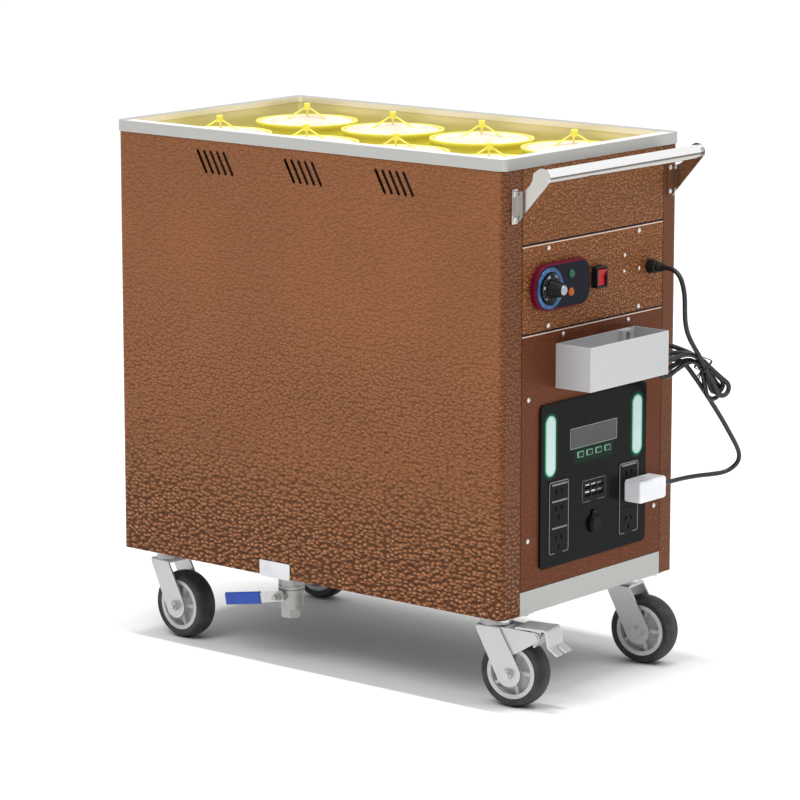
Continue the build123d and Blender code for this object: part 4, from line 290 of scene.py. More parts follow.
LEVEL_GRAIN = (25.0, 25.0, 1400.0)
satin, tree, shader, place, colour = steel("satin_stainless", (180, 180, 177), 0.34, LEVEL_GRAIN)
upright = put(tree, "NewGeometry").outputs["Normal"]
rim_low, rim_high = [Vector(corner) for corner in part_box("top_rim")]
centred = put(tree, "VectorMath", {0: place, 1: (rim_low + rim_high) / 2}, operation="SUBTRACT").outputs[0]
level = put(tree, "VectorMath", {0: centred, 1: (1.0, 1.0, 0.0)}, operation="MULTIPLY").outputs[0]
inward = put(tree, "VectorMath", {0: upright, 1: level}, operation="DOT_PRODUCT").outputs["Value"]
# Painted reflection: faces that look in towards the well are lightened.
colour = tint(tree, remap(tree, inward, -0.02, -0.1), colour, paint(238, 235, 224))
RIM_HIGHLIGHT_OFFSET = (-0.010, 0.010, 0.0)
RIM_FOLD = (0.0095, 0.0115)
PAN_BELOW = (0.5, 0.3)
rim_highlight_band = put(tree, "VectorMath", {0: centred, 1: RIM_HIGHLIGHT_OFFSET}, operation="ADD").outputs[0]
rim_highlight_band = put(tree, "VectorMath", {0: rim_highlight_band}, operation="ABSOLUTE").outputs[0]
rim_highlight_band = put(tree, "VectorMath", {0: (rim_high - rim_low) / 2, 1: rim_highlight_band}, operation="SUBTRACT")
rim_highlight_band = axes_of(tree, rim_highlight_band.outputs[0])
rim_highlight_band = remap(tree, sums(tree, "MINIMUM", rim_highlight_band["X"], rim_highlight_band["Y"]), *RIM_FOLD)
pan = remap(tree, axes_of(tree, place)["Z"], *PAN_BELOW)
colour = tint(tree, pan, colour, paint(168, 168, 166))
# Painted highlight: the rim's top is whitened, widest on its near lengths.
upward = remap(tree, axes_of(tree, upright)["Z"], 0.6, 0.95)
colour = tint(tree, sums(tree, "MULTIPLY", upward, rim_highlight_band), colour, paint(250, 250, 250))
tree.links.new(colour, shader.inputs["Base Color"])
dress(satin, "base_pan", "top_rim")
# Painted shade: the rails behind the joints are dark so that the gaps between the panels read dark.
dress(steel("shaded_rail", (62, 56, 54), 0.5, LEVEL_GRAIN)[0], "cross_rails")

# The steam well: a welded stainless tank, a slatted rack on its ledges and a hairpin heater under it.
# The walls are tinted yellower than the rim as a painted reflection of the baskets, and their outsides are
# black as painted shade.

# Painted reflection: the yellow in this tone stands for the baskets seen in the walls.
well_steel = steel("tank_stainless", (230, 223, 178), 0.3, (18.0, 18.0, 600.0), metallic=0.45)[0]
dress(well_steel, "tank", "steam_rack")
# Painted shade: the tank's outsides are black so that the vent slots read dark.
shade_black = steel("tank_outside_shade", (34, 30, 29), 0.7, (200.0, 200.0, 200.0), metallic=0.1)[0]
mesh = frame["nodes"]["tank"].data
mesh.materials.append(shade_black)
for face in mesh.polygons:
    middle = face.center
    outside = abs(face.normal.z) < 0.3 and face.normal.x * middle.x + face.normal.y * middle.y > 0.0
    face.material_index = int(outside)
dress(steel("heater_sheath", (150, 146, 142), 0.4, (300.0, 300.0, 300.0))[0], "heating_element")

# The steam baskets: eight lift-out rings of moulded yellow plastic with slotted plates.
# Each has a lifting knob on three thin legs, and is set down with one leg at the back.

moulding, takes, gives = recipe("moulding", {"Vector": "Vector", "Size": "Float"}, ["Grain"])
density = sums(moulding, "DIVIDE", 1.0, takes["Size"])
fleck = put(moulding, "TexNoise", {"Vector": takes["Vector"], "Scale": density, "Detail": 2.0})
moulding.links.new(fleck.outputs[0], gives["Grain"])


def moulded(name, tone, roughness, size=0.0008, depth=0.00002, sheen=0.3):
    """Moulded plastic with a fine grain, uneven gloss, and edges paled by rubbing and a painted highlight.
    """
    material, tree, shader, place = finish(name, paint(*tone), roughness)
    shader.inputs["Specular IOR Level"].default_value = sheen
    grain = put(tree, "Group", {"Vector": place, "Size": size}, node_tree=moulding).outputs[0]
    smudge = put(tree, "Group", {"Vector": place, "Size": 0.05}, node_tree=handling).outputs[0]
    wear_and_highlight = put(tree, "Group", {"Radius": 0.0006}, node_tree=worn_and_lit_edges).outputs[0]
    pale = [min(255, 1.12 * value + 14) for value in tone]
    colour = tint(tree, smudge, paint(*tone, share=0.95), paint(*tone, share=1.04))
    # Wear and painted highlight: the edges are paled.
    colour = tint(tree, sums(tree, "MULTIPLY", wear_and_highlight, 0.5), colour, paint(*pale))
    tree.links.new(colour, shader.inputs["Base Color"])
    rough = between(tree, smudge, roughness - 0.05, roughness + 0.07)
    tree.links.new(rough, shader.inputs["Roughness"])
    emboss(tree, shader, grain, depth)
    return material, tree, shader, place, colour


BASKETS = [f"basket_{number}" for number in range(1, 9)]
lemon, tree, shader, place, colour = moulded("yellow_plastic", (244, 233, 104), 0.36)
shader.inputs["Subsurface Weight"].default_value = 0.5
shader.inputs["Subsurface Radius"].default_value = (0.012, 0.01, 0.004)
shader.inputs["Subsurface Scale"].default_value = 1.0
# Painted light: a faint yellow glow brightens the baskets' shaded walls.
shader.inputs["Emission Color"].default_value = paint(240, 220, 84)
shader.inputs["Emission Strength"].default_value = 0.1
for name in BASKETS:
    drawn = frame["nodes"][name].data.copy()
    basket = bpy.data.objects.new(name.replace("basket", "steam_basket"), drawn)
    bpy.context.collection.objects.link(basket)
    bpy.ops.object.select_all(action="DESELECT")
    basket.select_set(True)
    bpy.context.view_layer.objects.active = basket
    lowest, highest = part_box(name)
    bpy.ops.object.mode_set(mode="EDIT")
    bpy.ops.mesh.select_all(action="SELECT")
    bpy.ops.mesh.remove_doubles(threshold=0.000002)
    bpy.ops.transform.rotate(
        value=math.pi,
        orient_axis="Z",
        center_override=((lowest[0] + highest[0]) / 2, (lowest[1] + highest[1]) / 2, highest[2]),
    )
    bpy.ops.object.mode_set(mode="OBJECT")
    bpy.ops.object.shade_smooth_by_angle(angle=math.radians(30))
    drawn.materials.clear()
    drawn.materials.append(lemon)
    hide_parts(name)
    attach(basket, name)

# The steamer liners: a round of bleached cotton in each basket, tucked down inside the ring.
# Each is cut from one piece, and the steam swells it a little over the rim.

LINER_RADIUS = 0.0728
LINER_THICKNESS = 0.0007
LINER_SHOULDER = 0.0082
LINER_CROWN = 0.0128
LINER_TUCK = 0.08
LINER_RIPPLE = 0.0012
LINER_RINGS = [0.0006, 0.0012, 0.0018, 0.0024] + [0.0074] * 8

bpy.ops.object.select_all(action="DESELECT")
bpy.ops.mesh.primitive_circle_add(vertices=64, radius=LINER_RADIUS, fill_type="NGON")
liner = bpy.context.object
bpy.ops.object.mode_set(mode="EDIT")
bpy.ops.mesh.select_all(action="SELECT")
for step in LINER_RINGS:
    bpy.ops.mesh.inset(thickness=step)
bpy.ops.mesh.poke()
bpy.ops.object.mode_set(mode="OBJECT")
for corner in liner.data.vertices:
    share = min(1.0, corner.co.xy.length / LINER_RADIUS)
    turn = math.atan2(corner.co.y, corner.co.x)
    ripple = LINER_RIPPLE * share**2 * math.sin(5 * turn + 0.6) * (1.0 - share)
    crown = (LINER_CROWN - LINER_SHOULDER) * max(0.0, 1.0 - (share / (1.0 - LINER_TUCK)) ** 2)
    tuck = max(0.0, (share - 1.0 + LINER_TUCK) / LINER_TUCK)
    corner.co.z = LINER_SHOULDER * math.sqrt(1.0 - tuck**2) + crown + ripple
thicken = liner.modifiers.new("cloth", "SOLIDIFY")
thicken.thickness = LINER_THICKNESS
thicken.offset = 1.0
bpy.ops.object.modifier_apply(modifier=thicken.name)
bpy.ops.object.shade_smooth_by_angle(angle=math.radians(50))

cotton, tree, shader, place = finish("bleached_cotton", paint(226, 210, 192), 0.85)
threads = {"Vector": place, "Scale": 260.0, "Distortion": 0.6}
weave = put(tree, "TexWave", threads, bands_direction="X").outputs[1]
weft = put(tree, "TexWave", threads, bands_direction="Y").outputs[1]
cloth = sums(tree, "MULTIPLY", weave, weft)
damp = put(tree, "Group", {"Vector": place, "Size": 0.03}, node_tree=handling).outputs[0]
colour = tint(tree, damp, paint(216, 196, 180), paint(234, 220, 200))
colour = tint(tree, sums(tree, "MULTIPLY", cloth, 0.25), colour, paint(242, 232, 220))
tree.links.new(colour, shader.inputs["Base Color"])
emboss(tree, shader, cloth, 0.0002)
liner.data.materials.append(cotton)

LINER_LIFT = 0.0001
LINER_TURN = 47
KNOB_RISE = 0.0255
PLATE_DROP = 0.009
for number, name in enumerate(BASKETS, 1):
    spot = liner.copy()
    spot.data = liner.data.copy()
    spot.name = f"steam_liner_{number}"
    bpy.context.collection.objects.link(spot)
    lowest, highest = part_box(name)
    bed = highest[2] - KNOB_RISE - PLATE_DROP
    middle = Vector(((lowest[0] + highest[0]) / 2, (lowest[1] + highest[1]) / 2, bed + LINER_LIFT))
    turned = Matrix.Rotation(math.radians(LINER_TURN * number), 4, "Z")
    spot.data.transform(Matrix.Translation(middle) @ turned)
    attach(spot, name)
bpy.data.objects.remove(liner)

# The thermostat: a raised navy bezel with crimson sides, a black knob and two signal lamps.
# A lacquered blue ring is pressed on round the knob, and the dial's numbers are printed on its skirt.

bezel_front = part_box("thermostat_plate")[1][0]
knob_low, knob_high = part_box("thermostat_knob")
knob_at = Vector((knob_high[0], (knob_low[1] + knob_high[1]) / 2, (knob_low[2] + knob_high[2]) / 2))

bezel, tree, shader, place, colour = moulded("navy_plastic", (18, 19, 34), 0.3, sheen=0.07)
facing = axes_of(tree, put(tree, "NewGeometry").outputs["Normal"])["X"]
colour = tint(tree, remap(tree, facing, 0.95, 0.8), colour, paint(98, 16, 40))
tree.links.new(colour, shader.inputs["Base Color"])
dress(bezel, "thermostat_plate")

RING_RADIUS = 0.0262
RING_BAND = 0.0034
RING_FLATNESS = 0.6
RING_LIFT = 0.0001
bpy.ops.object.select_all(action="DESELECT")
bpy.ops.mesh.primitive_torus_add(
    major_radius=RING_RADIUS,
    minor_radius=RING_BAND,
    major_segments=80,
    minor_segments=20,
    location=(bezel_front, knob_at.y, knob_at.z),
    rotation=(0.0, math.pi / 2, 0.0),
)
ring = bpy.context.object
ring.name = "dial_ring"
bpy.ops.object.transform_apply(location=True, rotation=True, scale=True)
bpy.ops.object.mode_set(mode="EDIT")
bpy.ops.mesh.select_all(action="SELECT")
bpy.ops.transform.resize(
    value=(RING_FLATNESS, 1.0, 1.0), center_override=(bezel_front, knob_at.y, knob_at.z)
)
bpy.ops.mesh.bisect(
    plane_co=(bezel_front + RING_LIFT, 0.0, 0.0),
    plane_no=(1.0, 0.0, 0.0),
    use_fill=True,
    clear_inner=True,
)
bpy.ops.mesh.select_all(action="SELECT")
bpy.ops.mesh.normals_make_consistent(inside=False)
bpy.ops.object.mode_set(mode="OBJECT")
bpy.ops.object.shade_smooth_by_angle(angle=math.radians(40))
bpy.ops.object.transform_apply(location=True, rotation=True, scale=True)
lacquer, tree, shader, place = finish("blue_lacquer", paint(34, 88, 138), 0.28, 0.3)
smudge = put(tree, "Group", {"Vector": place, "Size": 0.012}, node_tree=handling).outputs[0]
tree.links.new(tint(tree, smudge, paint(18, 62, 112), paint(48, 104, 150)), shader.inputs["Base Color"])
tree.links.new(between(tree, smudge, 0.16, 0.3), shader.inputs["Roughness"])
ring.data.materials.append(lacquer)
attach(ring, "cart")

CAP_DEPTH = 0.0012
CAP_RADIUS = 0.0071
knob_black = moulded("knob_black", (18, 19, 21), 0.34, sheen=0.2)[0]
dress(knob_black, "thermostat_knob")
cap_grey = steel("knob_cap", (158, 162, 168), 0.3, (500.0, 500.0, 500.0), edge_radius=0.0003)[0]
mesh = frame["nodes"]["thermostat_knob"].data
mesh.materials.append(cap_grey)
for face in mesh.polygons:
    away = face.center - knob_at
    if away.x > -CAP_DEPTH and away.yz.length < CAP_RADIUS:
        face.material_index = 1

NUMBERS = ["0", "50", "100", "150", "200", "250"]
SKIRT_FRONT = bezel_front + 0.0045
NUMBER_RADIUS = 0.0184
NUMBER_SIZE = 0.0042
TICKS = 26
TICK_RADIUS = NUMBER_RADIUS + 0.0022
TICK_SIZE = 0.0016
DIAL_START = -135
DIAL_SWEEP = 270
SKIRT_SLOPE = math.radians(29)
printed = finish("dial_print", paint(226, 230, 236), 0.5)[0]
marks = []


def print_mark(text, turn, size, radius):
    """Prints a mark on the knob's sloping skirt, at a turn from the top."""
    bpy.ops.object.select_all(action="DESELECT")
    bpy.ops.object.text_add()
    mark = bpy.context.object
    mark.data.body = text
    mark.data.size = size
    mark.data.align_x = "CENTER"
    mark.data.align_y = "CENTER"
    mark.data.extrude = 0.00006
    bpy.ops.object.convert(target="MESH")
    facing = Matrix(((0, 0, 1, 0), (1, 0, 0, 0), (0, 1, 0, 0), (0, 0, 0, 1)))
    lean = Matrix.Rotation(-SKIRT_SLOPE, 4, "X")
    out = Matrix.Translation((0.0, radius, 0.0))
    swing = Matrix.Rotation(-turn, 4, "Z")
    depth = (NUMBER_RADIUS - radius) * math.tan(SKIRT_SLOPE)
    centre = Matrix.Translation((SKIRT_FRONT + depth, knob_at.y, knob_at.z))
    mark.data.transform(centre @ facing @ swing @ out @ lean)
    mark.data.materials.append(printed)
    marks.append(mark)


for number, text in enumerate(NUMBERS):
    turn = DIAL_SWEEP / (len(NUMBERS) - 1) * number + DIAL_START
    print_mark(text, math.radians(turn), NUMBER_SIZE, NUMBER_RADIUS)
for number in range(TICKS):
    turn = DIAL_SWEEP / (TICKS - 1) * number + DIAL_START
    print_mark("I", math.radians(turn), TICK_SIZE, TICK_RADIUS)
bpy.ops.object.select_all(action="DESELECT")
for mark in marks:
    mark.select_set(True)
bpy.context.view_layer.objects.active = marks[0]
bpy.ops.object.join()
numbers = bpy.context.object
numbers.name = "dial_numbers"
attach(numbers, "knob")

lens, tree, shader, place, colour = moulded("lamp_plastic", (22, 92, 62), 0.18)
level = axes_of(tree, place)["Z"]
lamps_low, lamps_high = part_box("indicator_lamps")
lamps_middle = (lamps_low[2] + lamps_high[2]) / 2
amber = remap(tree, level, lamps_middle + 0.001, lamps_middle - 0.001)
tree.links.new(tint(tree, amber, colour, paint(176, 84, 18)), shader.inputs["Base Color"])
dress(lens, "indicator_lamps")

# The mains switch and the cord gland: a black snap-in housing with a red rocker, and a black nylon gland.
# The rocker is clear-coated red, and the gland steps down from its nut in a cone to the cord.

black_nylon = moulded("black_plastic", (22, 22, 24), 0.42, sheen=0.25)[0]
dress(black_nylon, "rocker_housing", "cable_gland", "thermostat_body")
scarlet, tree, shader, place, colour = moulded("red_plastic", (172, 10, 16), 0.2, sheen=0.15)
shader.inputs["Coat Weight"].default_value = 0.2
shader.inputs["Coat Roughness"].default_value = 0.08
# Painted light: the rocker glows faintly red.
shader.inputs["Emission Color"].default_value = paint(220, 20, 24)
shader.inputs["Emission Strength"].default_value = 0.06
dress(scarlet, "power_rocker")

# The power station: a black case behind the lower panel, with a gloss black front of its own.
# The front holds two light strips, a display with four keys, two socket columns, charging ports and a
# round socket. Its ruled lines are silk-screened, and the light strips spill green on the gloss.

PANEL_MIDDLE = 0.005
STRIP_AT = (0.103, 0.369)
STRIP_HALF = (0.0115, 0.0435)

ruling, takes, gives = recipe(
    "ruling", {"Vector": "Vector", "Centre": "Vector", "Half": "Vector", "Radius": "Float"}, ["Distance"]
)
away = put(ruling, "VectorMath", {0: takes["Vector"], 1: takes["Centre"]}, operation="SUBTRACT")
away = put(ruling, "VectorMath", {0: away.outputs[0]}, operation="ABSOLUTE")
away = put(ruling, "VectorMath", {0: away.outputs[0], 1: takes["Half"]}, operation="SUBTRACT")
away = axes_of(ruling, away.outputs[0])
across = sums(ruling, "ADD", away["Y"], takes["Radius"])
upright = sums(ruling, "ADD", away["Z"], takes["Radius"])
inner = sums(ruling, "MINIMUM", sums(ruling, "MAXIMUM", across, upright), 0.0)
corner = {"Y": sums(ruling, "MAXIMUM", across, 0.0), "Z": sums(ruling, "MAXIMUM", upright, 0.0)}
corner = put(ruling, "CombineXYZ", corner).outputs[0]
outer = put(ruling, "VectorMath", {0: corner}, operation="LENGTH").outputs["Value"]
total = sums(ruling, "ADD", outer, inner)
ruling.links.new(sums(ruling, "SUBTRACT", total, takes["Radius"]), gives["Distance"])


def ruled(tree, place, centre, half, radius):
    """The distance from a rounded rectangle on the panel, negative inside it."""
    sizes = {"Vector": place, "Centre": (0.0, *centre), "Half": (1.0, *half), "Radius": radius}
    return put(tree, "Group", sizes, node_tree=ruling).outputs[0]


def line(tree, distance, width):
    """A mask along the edge of a rounded rectangle."""
    return remap(tree, sums(tree, "ABSOLUTE", distance), 0.35 * width, 0.65 * width, 1.0, 0.0)


def gapped(tree, distance, gap):
    """A mask along the edge of a rounded rectangle that is left open over a gap."""
    return sums(tree, "MULTIPLY", line(tree, distance, PRINT_LINE), remap(tree, gap, 0.0, 0.0005))


def mirrored(tree, place):
    """Places on the panel folded over its middle, so that one outline serves both sides."""
    axes = axes_of(tree, place)
    across = sums(tree, "ABSOLUTE", sums(tree, "SUBTRACT", axes["Y"], PANEL_MIDDLE))
    return put(tree, "CombineXYZ", {"X": axes["X"], "Y": across, "Z": axes["Z"]}).outputs[0]


def joined(tree, masks):
    """One mask over all that several masks cover."""
    whole = masks[0]
    for mask in masks[1:]:
        whole = sums(tree, "MAXIMUM", whole, mask)
    return whole


PRINT_LINE = 0.0012
PORTS_AT = (0.005, 0.290)
PORTS_HALF = (0.0272, 0.0152)
PORTS_GAP_AT = (0.005, 0.275)
PORTS_GAP_HALF = (0.008, 0.004)
DISPLAY_AT = (0.0035, 0.371)
DISPLAY_HALF = (0.0552, 0.0144)
DISPLAY_LINE = 0.0013
KEYS_AT = (0.0046, 0.3466)
KEYS_HALF = (0.043, 0.0085)
KEYS_SPILL = 0.18

gloss, tree, shader, place, colour = moulded("black_gloss", (14, 15, 17), 0.16, sheen=0.06)
ports = ruled(tree, place, PORTS_AT, PORTS_HALF, 0.002)
ports = gapped(tree, ports, ruled(tree, place, PORTS_GAP_AT, PORTS_GAP_HALF, 0.001))
display = line(tree, ruled(tree, place, DISPLAY_AT, DISPLAY_HALF, 0.0008), DISPLAY_LINE)
colour = tint(tree, joined(tree, [ports, display]), colour, paint(158, 160, 160))
# Painted light: green from the light strips and the keys is painted onto the gloss round them.
strips = ruled(tree, mirrored(tree, place), STRIP_AT, STRIP_HALF, STRIP_HALF[0])
strips = remap(tree, strips, 0.0065, -0.001)
keys = ruled(tree, place, KEYS_AT, KEYS_HALF, 0.002)
keys = sums(tree, "MULTIPLY", remap(tree, keys, 0.007, 0.0), KEYS_SPILL)
colour = tint(tree, joined(tree, [strips, keys]), colour, paint(14, 96, 62))
tree.links.new(colour, shader.inputs["Base Color"])
dress(gloss, "power_panel")
dress(black_nylon, "power_unit")

strip, tree, shader, place, colour = moulded("led_white", (196, 216, 214), 0.3)
rim = ruled(tree, mirrored(tree, place), STRIP_AT, STRIP_HALF, STRIP_HALF[0])
rim = remap(tree, rim, -0.0045, 0.0)
colour = tint(tree, rim, paint(200, 222, 221), paint(128, 206, 178))
tree.links.new(colour, shader.inputs["Base Color"])
tree.links.new(colour, shader.inputs["Emission Color"])
shader.inputs["Emission Strength"].default_value = 0.1
dress(strip, "led_strips")

window, tree, shader, place = finish("lcd_grey", paint(70, 76, 75), 0.16)
turned = {
    "Vector": place,
    "Location": (-4.4, 0.0, 0.5),
    "Rotation": (0.0, math.pi / 2, 0.0),
    "Scale": (0.0, 0.0, 12.0),
}
turned = put(tree, "Mapping", turned).outputs[0]
shade = put(tree, "TexGradient", {"Vector": turned}).outputs[1]
cells = put(tree, "TexBrick", {"Vector": place, "Scale": 900.0}).outputs[1]
colour = tint(tree, shade, paint(46, 51, 50), paint(76, 82, 80))
colour = tint(tree, sums(tree, "MULTIPLY", cells, 0.08), colour, paint(40, 46, 44))
tree.links.new(colour, shader.inputs["Base Color"])
dress(window, "lcd_window")

KEYS = [f"power_button_{number}" for number in range(1, 5)]
KEY_LINE = 0.0017
key, tree, shader, place, colour = moulded("button_green", (16, 24, 22), 0.3, sheen=0.15)
outlines = []
for name in KEYS:
    key_low, key_high = [Vector(corner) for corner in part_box(name)]
    middle = (key_low + key_high) / 2
    half = (key_high - key_low) / 2
    half = (half.y - 0.6 * KEY_LINE, half.z - 0.6 * KEY_LINE)
    edge = ruled(tree, place, (middle.y, middle.z), half, 0.0006)
    outlines.append(line(tree, edge, KEY_LINE))
outlined = joined(tree, outlines)
colour = tint(tree, outlined, colour, paint(176, 226, 200))
tree.links.new(colour, shader.inputs["Base Color"])
glow = tint(tree, outlined, paint(0, 0, 0), paint(90, 220, 150))
tree.links.new(glow, shader.inputs["Emission Color"])
shader.inputs["Emission Strength"].default_value = 0.15
dress(key, *KEYS)

BARS_AT = [(-0.0767, 0.3115), (-0.0767, 0.2875), (-0.0767, 0.2488), (0.0897, 0.3125)]
BAR_HALF = (0.0173, 0.0009)
COLUMN_AT = (0.0835, 0.264)
COLUMN_HALF = (0.0222, 0.0517)
COLUMN_GAP_AT = (0.0835, 0.2118)
COLUMN_GAP_HALF = (0.009, 0.004)

socket, tree, shader, place, colour = moulded("socket_black", (14, 15, 17), 0.3, sheen=0.07)
prints = []
for centre in BARS_AT:
    bar = ruled(tree, place, centre, BAR_HALF, 0.0004)
    prints.append(remap(tree, bar, 0.0006, 0.0))
both = mirrored(tree, place)
columns = ruled(tree, both, COLUMN_AT, COLUMN_HALF, 0.004)
prints.append(gapped(tree, columns, ruled(tree, both, COLUMN_GAP_AT, COLUMN_GAP_HALF, 0.001)))
facing = axes_of(tree, put(tree, "NewGeometry").outputs["Normal"])["X"]
front_print = sums(tree, "MULTIPLY", joined(tree, prints), remap(tree, facing, 0.8, 0.95))
tree.links.new(tint(tree, front_print, colour, paint(146, 148, 150)), shader.inputs["Base Color"])
dress(socket, "outlet_sockets")

PORT_COLUMNS = ((-0.0113, 1.0), (0.003, 1.0), (0.0168, 0.35))
PORT_ROWS = (0.2985, 0.2887)
DASH_HALF = (0.0046, 0.0009)

port, tree, shader, place, colour = moulded("port_black", (15, 16, 18), 0.32, sheen=0.08)
dashes = []
for across, strength in PORT_COLUMNS:
    for upright in PORT_ROWS:
        dash = ruled(tree, place, (across, upright), DASH_HALF, 0.0004)
        dashes.append(remap(tree, dash, 0.0006, 0.0, 0.0, strength))
colour = tint(tree, joined(tree, dashes), colour, paint(214, 216, 218))
tree.links.new(colour, shader.inputs["Base Color"])
dress(port, "dc_sockets")

# The tray and the push handle: stainless. The tray is folded from one sheet and screwed on.
# The handle is a bright tube welded between two swept, polished plates that bolt to the corners,
# and the far plate's flange is coloured copper as a painted reflection of the body.

# The tray's wider edge radius gives it broad painted edge highlights.
tray_steel = steel("tray_stainless", (198, 199, 201), 0.4, LEVEL_GRAIN, edge_radius=0.0018, metallic=0.15)[0]
dress(tray_steel, "tray")
polished = steel(
    "polished_stainless", (190, 187, 182), 0.13, (40.0, 40.0, 700.0), metallic=1.0, grain=0.012
)[0]
dress(polished, "handle_brackets")
mesh = frame["nodes"]["handle_brackets"].data
# Painted reflection: the far plate's end-facing flange takes the body's copper.
mesh.materials.append(copper_sheet("flange_copper_reflection", (116, 70, 42), 0.1, 0.1, 0.05)[0])
for face in mesh.polygons:
    face.material_index = int(face.normal.x > 0.9 and face.center.y > 0.0)
chrome, tree, shader, place, colour = steel(
    "polished_tube", (244, 244, 244), 0.1, (900.0, 16.0, 900.0), metallic=1.0, grain=0.008
)
# Painted shade and reflection: the tube's underside is darkened, with a darker painted line just below its
# middle.
upright = axes_of(tree, put(tree, "NewGeometry").outputs["Normal"])["Z"]
colour = tint(tree, remap(tree, upright, 0.05, -0.2), colour, paint(176, 172, 168))
colour = tint(tree, edge_line(tree, upright, -0.14, 0.16), colour, paint(104, 98, 94))
tree.links.new(colour, shader.inputs["Base Color"])
dress(chrome, "handle_tube")

# The drain: a cast and turned ball valve under the tank, with a steel lever in a dipped blue sleeve.
# A bare enamelled plate is glued over it at the foot of the copper side.

nickel = steel(
    "valve_nickel", (168, 167, 165), 0.36, (60.0, 60.0, 1500.0), edge_radius=0.0006, metallic=0.5, grain=0.015
)[0]
dress(nickel, "valve_body", "valve_stem")
lever_steel = steel("lever_stainless", (190, 190, 188), 0.3, (60.0, 900.0, 900.0), edge_radius=0.0006)[0]
dress(lever_steel, "valve_lever")
dress(moulded("blue_vinyl", (44, 78, 170), 0.46, size=0.0012, depth=0.00006)[0], "lever_sleeve")

PLATE_SPAN = (-0.1176, -0.0596)
PLATE_RISE = (0.133, 0.157)
PLATE_SHEET = 0.0012
PLATE_CORNER = 0.0012
PLATE_EASE = 0.0003
side_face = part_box("side_panel_left")[0][1]
bpy.ops.object.select_all(action="DESELECT")
bpy.ops.mesh.primitive_cube_add(
    size=1.0,
    location=(sum(PLATE_SPAN) / 2, side_face - PLATE_SHEET / 2, sum(PLATE_RISE) / 2),
    scale=(PLATE_SPAN[1] - PLATE_SPAN[0], PLATE_SHEET, PLATE_RISE[1] - PLATE_RISE[0]),
)
plate = bpy.context.object
plate.name = "drain_plate"
bpy.ops.object.transform_apply(location=True, rotation=True, scale=True)
bpy.ops.object.mode_set(mode="EDIT")
bpy.ops.mesh.select_mode(type="EDGE")
bpy.ops.mesh.select_all(action="DESELECT")
bpy.ops.object.mode_set(mode="OBJECT")
for edge in plate.data.edges:
    ends = [plate.data.vertices[index].co for index in edge.vertices]
    edge.select = abs(ends[0].y - ends[1].y) > 0.5 * PLATE_SHEET
bpy.ops.object.mode_set(mode="EDIT")
bpy.ops.mesh.bevel(offset=PLATE_CORNER, segments=3)
bpy.ops.object.mode_set(mode="OBJECT")
ease = plate.modifiers.new("eased", "BEVEL")
ease.width = PLATE_EASE
ease.segments = 2
ease.limit_method = "ANGLE"
bpy.ops.object.modifier_apply(modifier=ease.name)
bpy.ops.object.shade_smooth_by_angle(angle=math.radians(35))
enamel = moulded("white_enamel", (224, 226, 230), 0.3, size=0.004, depth=0.00003)[0]
plate.data.materials.append(enamel)
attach(plate, "cart")

# The casters: zinc-plated pressed forks on swivel plates, with moulded wheels and black rubber tyres.
# The tyres are moulded on grey cores, and the near one carries a foot brake of the same plated steel.

zinc = steel(
    "zinc_plate", (186, 186, 187), 0.32, (400.0, 400.0, 400.0), edge_radius=0.001, metallic=0.8, grain=0.01
)[0]
CORNERS = ("handle_left", "handle_right", "nose_left", "nose_right")
dress(zinc, "caster_plates", "brake_pedal", *[f"fork_{corner}" for corner in CORNERS])

TYRE_SEAT = 0.038
core = moulded("wheel_core", (200, 200, 202), 0.42)[0]
tyre, tree, shader, place, colour = moulded("tyre_rubber", (44, 43, 45), 0.6, size=0.0014, depth=0.00008)
dust = put(tree, "Group", {"Vector": place, "Size": 0.02}, node_tree=handling).outputs[0]
dusted = tint(tree, sums(tree, "MULTIPLY", dust, 0.3), colour, paint(96, 92, 90))
tree.links.new(dusted, shader.inputs["Base Color"])
for joint in frame["joints"]:
    if joint["name"].startswith("roll_"):
        hub = Vector(joint["pos_m"])
        axle = Vector(joint["axis"])
        dress(core, joint["child"])
        mesh = frame["nodes"][joint["child"]].data
        mesh.materials.append(tyre)
        for face in mesh.polygons:
            arm = face.center - hub
            face.material_index = int((arm - axle * arm.dot(axle)).length > TYRE_SEAT)

# The screws: domed, nickel-plated machine screws through the panels, and the casters' bolts.
# Their heads are polished by the driver and catch the light.

screw_steel = steel("screw_nickel", (206, 204, 202), 0.2, (700.0, 700.0, 700.0), edge_radius=0.0004)[0]
dress(screw_steel, "fasteners")

# The mains lead: 7 mm black rubber flex from the gland beside the switch, tied in a loose hank
# and run down to the power station's outlet. The hank's turns fan out on both sides of the tie.

BODY_MIDDLE = Vector((-0.03064, 0.0, 0.0))
CORD_DIAMETER = 0.007
CORD_UPPER = [
    (389, 138, 596.5),
    (403, 138, 596.5),
    (414, 136.5, 591.5),
    (421.5, 135, 583),
    (426, 134.5, 571.5),
    (428.3, 135, 557),
    (428.3, 135.5, 540),
    (428, 137, 521),
    (429.5, 142, 502.5),
    (433.5, 150, 486),
    (438.5, 159, 470),
]
CORD_LOWER = [
    (420, 186, 424),
    (425.5, 206.5, 396.5),
    (429.5, 229, 368),
    (431.5, 249.5, 341.5),
    (432, 265.5, 321.5),
    (430.7, 276, 307.5),
    (427.5, 279.5, 295.5),
    (422, 278, 287.5),
    (415.6, 271.5, 280.5),
    (408.5, 261, 277),
    (401, 245, 276.5),
    (392.5, 222.5, 277),
    (385, 196, 276.4),
    (380.3, 170, 275),
    (380.3, 142, 275),
]
HANK_TIE = Vector((430, 178, 455))
HANK_HEADING = math.radians(64.4)
HANK_FRONT = 12.0
HANK_STEP = 8.4
HANK_ENTRY = 3.0
ENTRY_PLACES = 5
FOLD_STEP = 42
FOLD_LEAD = 9.0


def pointing(angle):
    """A direction across the hank, at an angle in degrees."""
    return Vector((math.cos(math.radians(angle)), math.sin(math.radians(angle))))


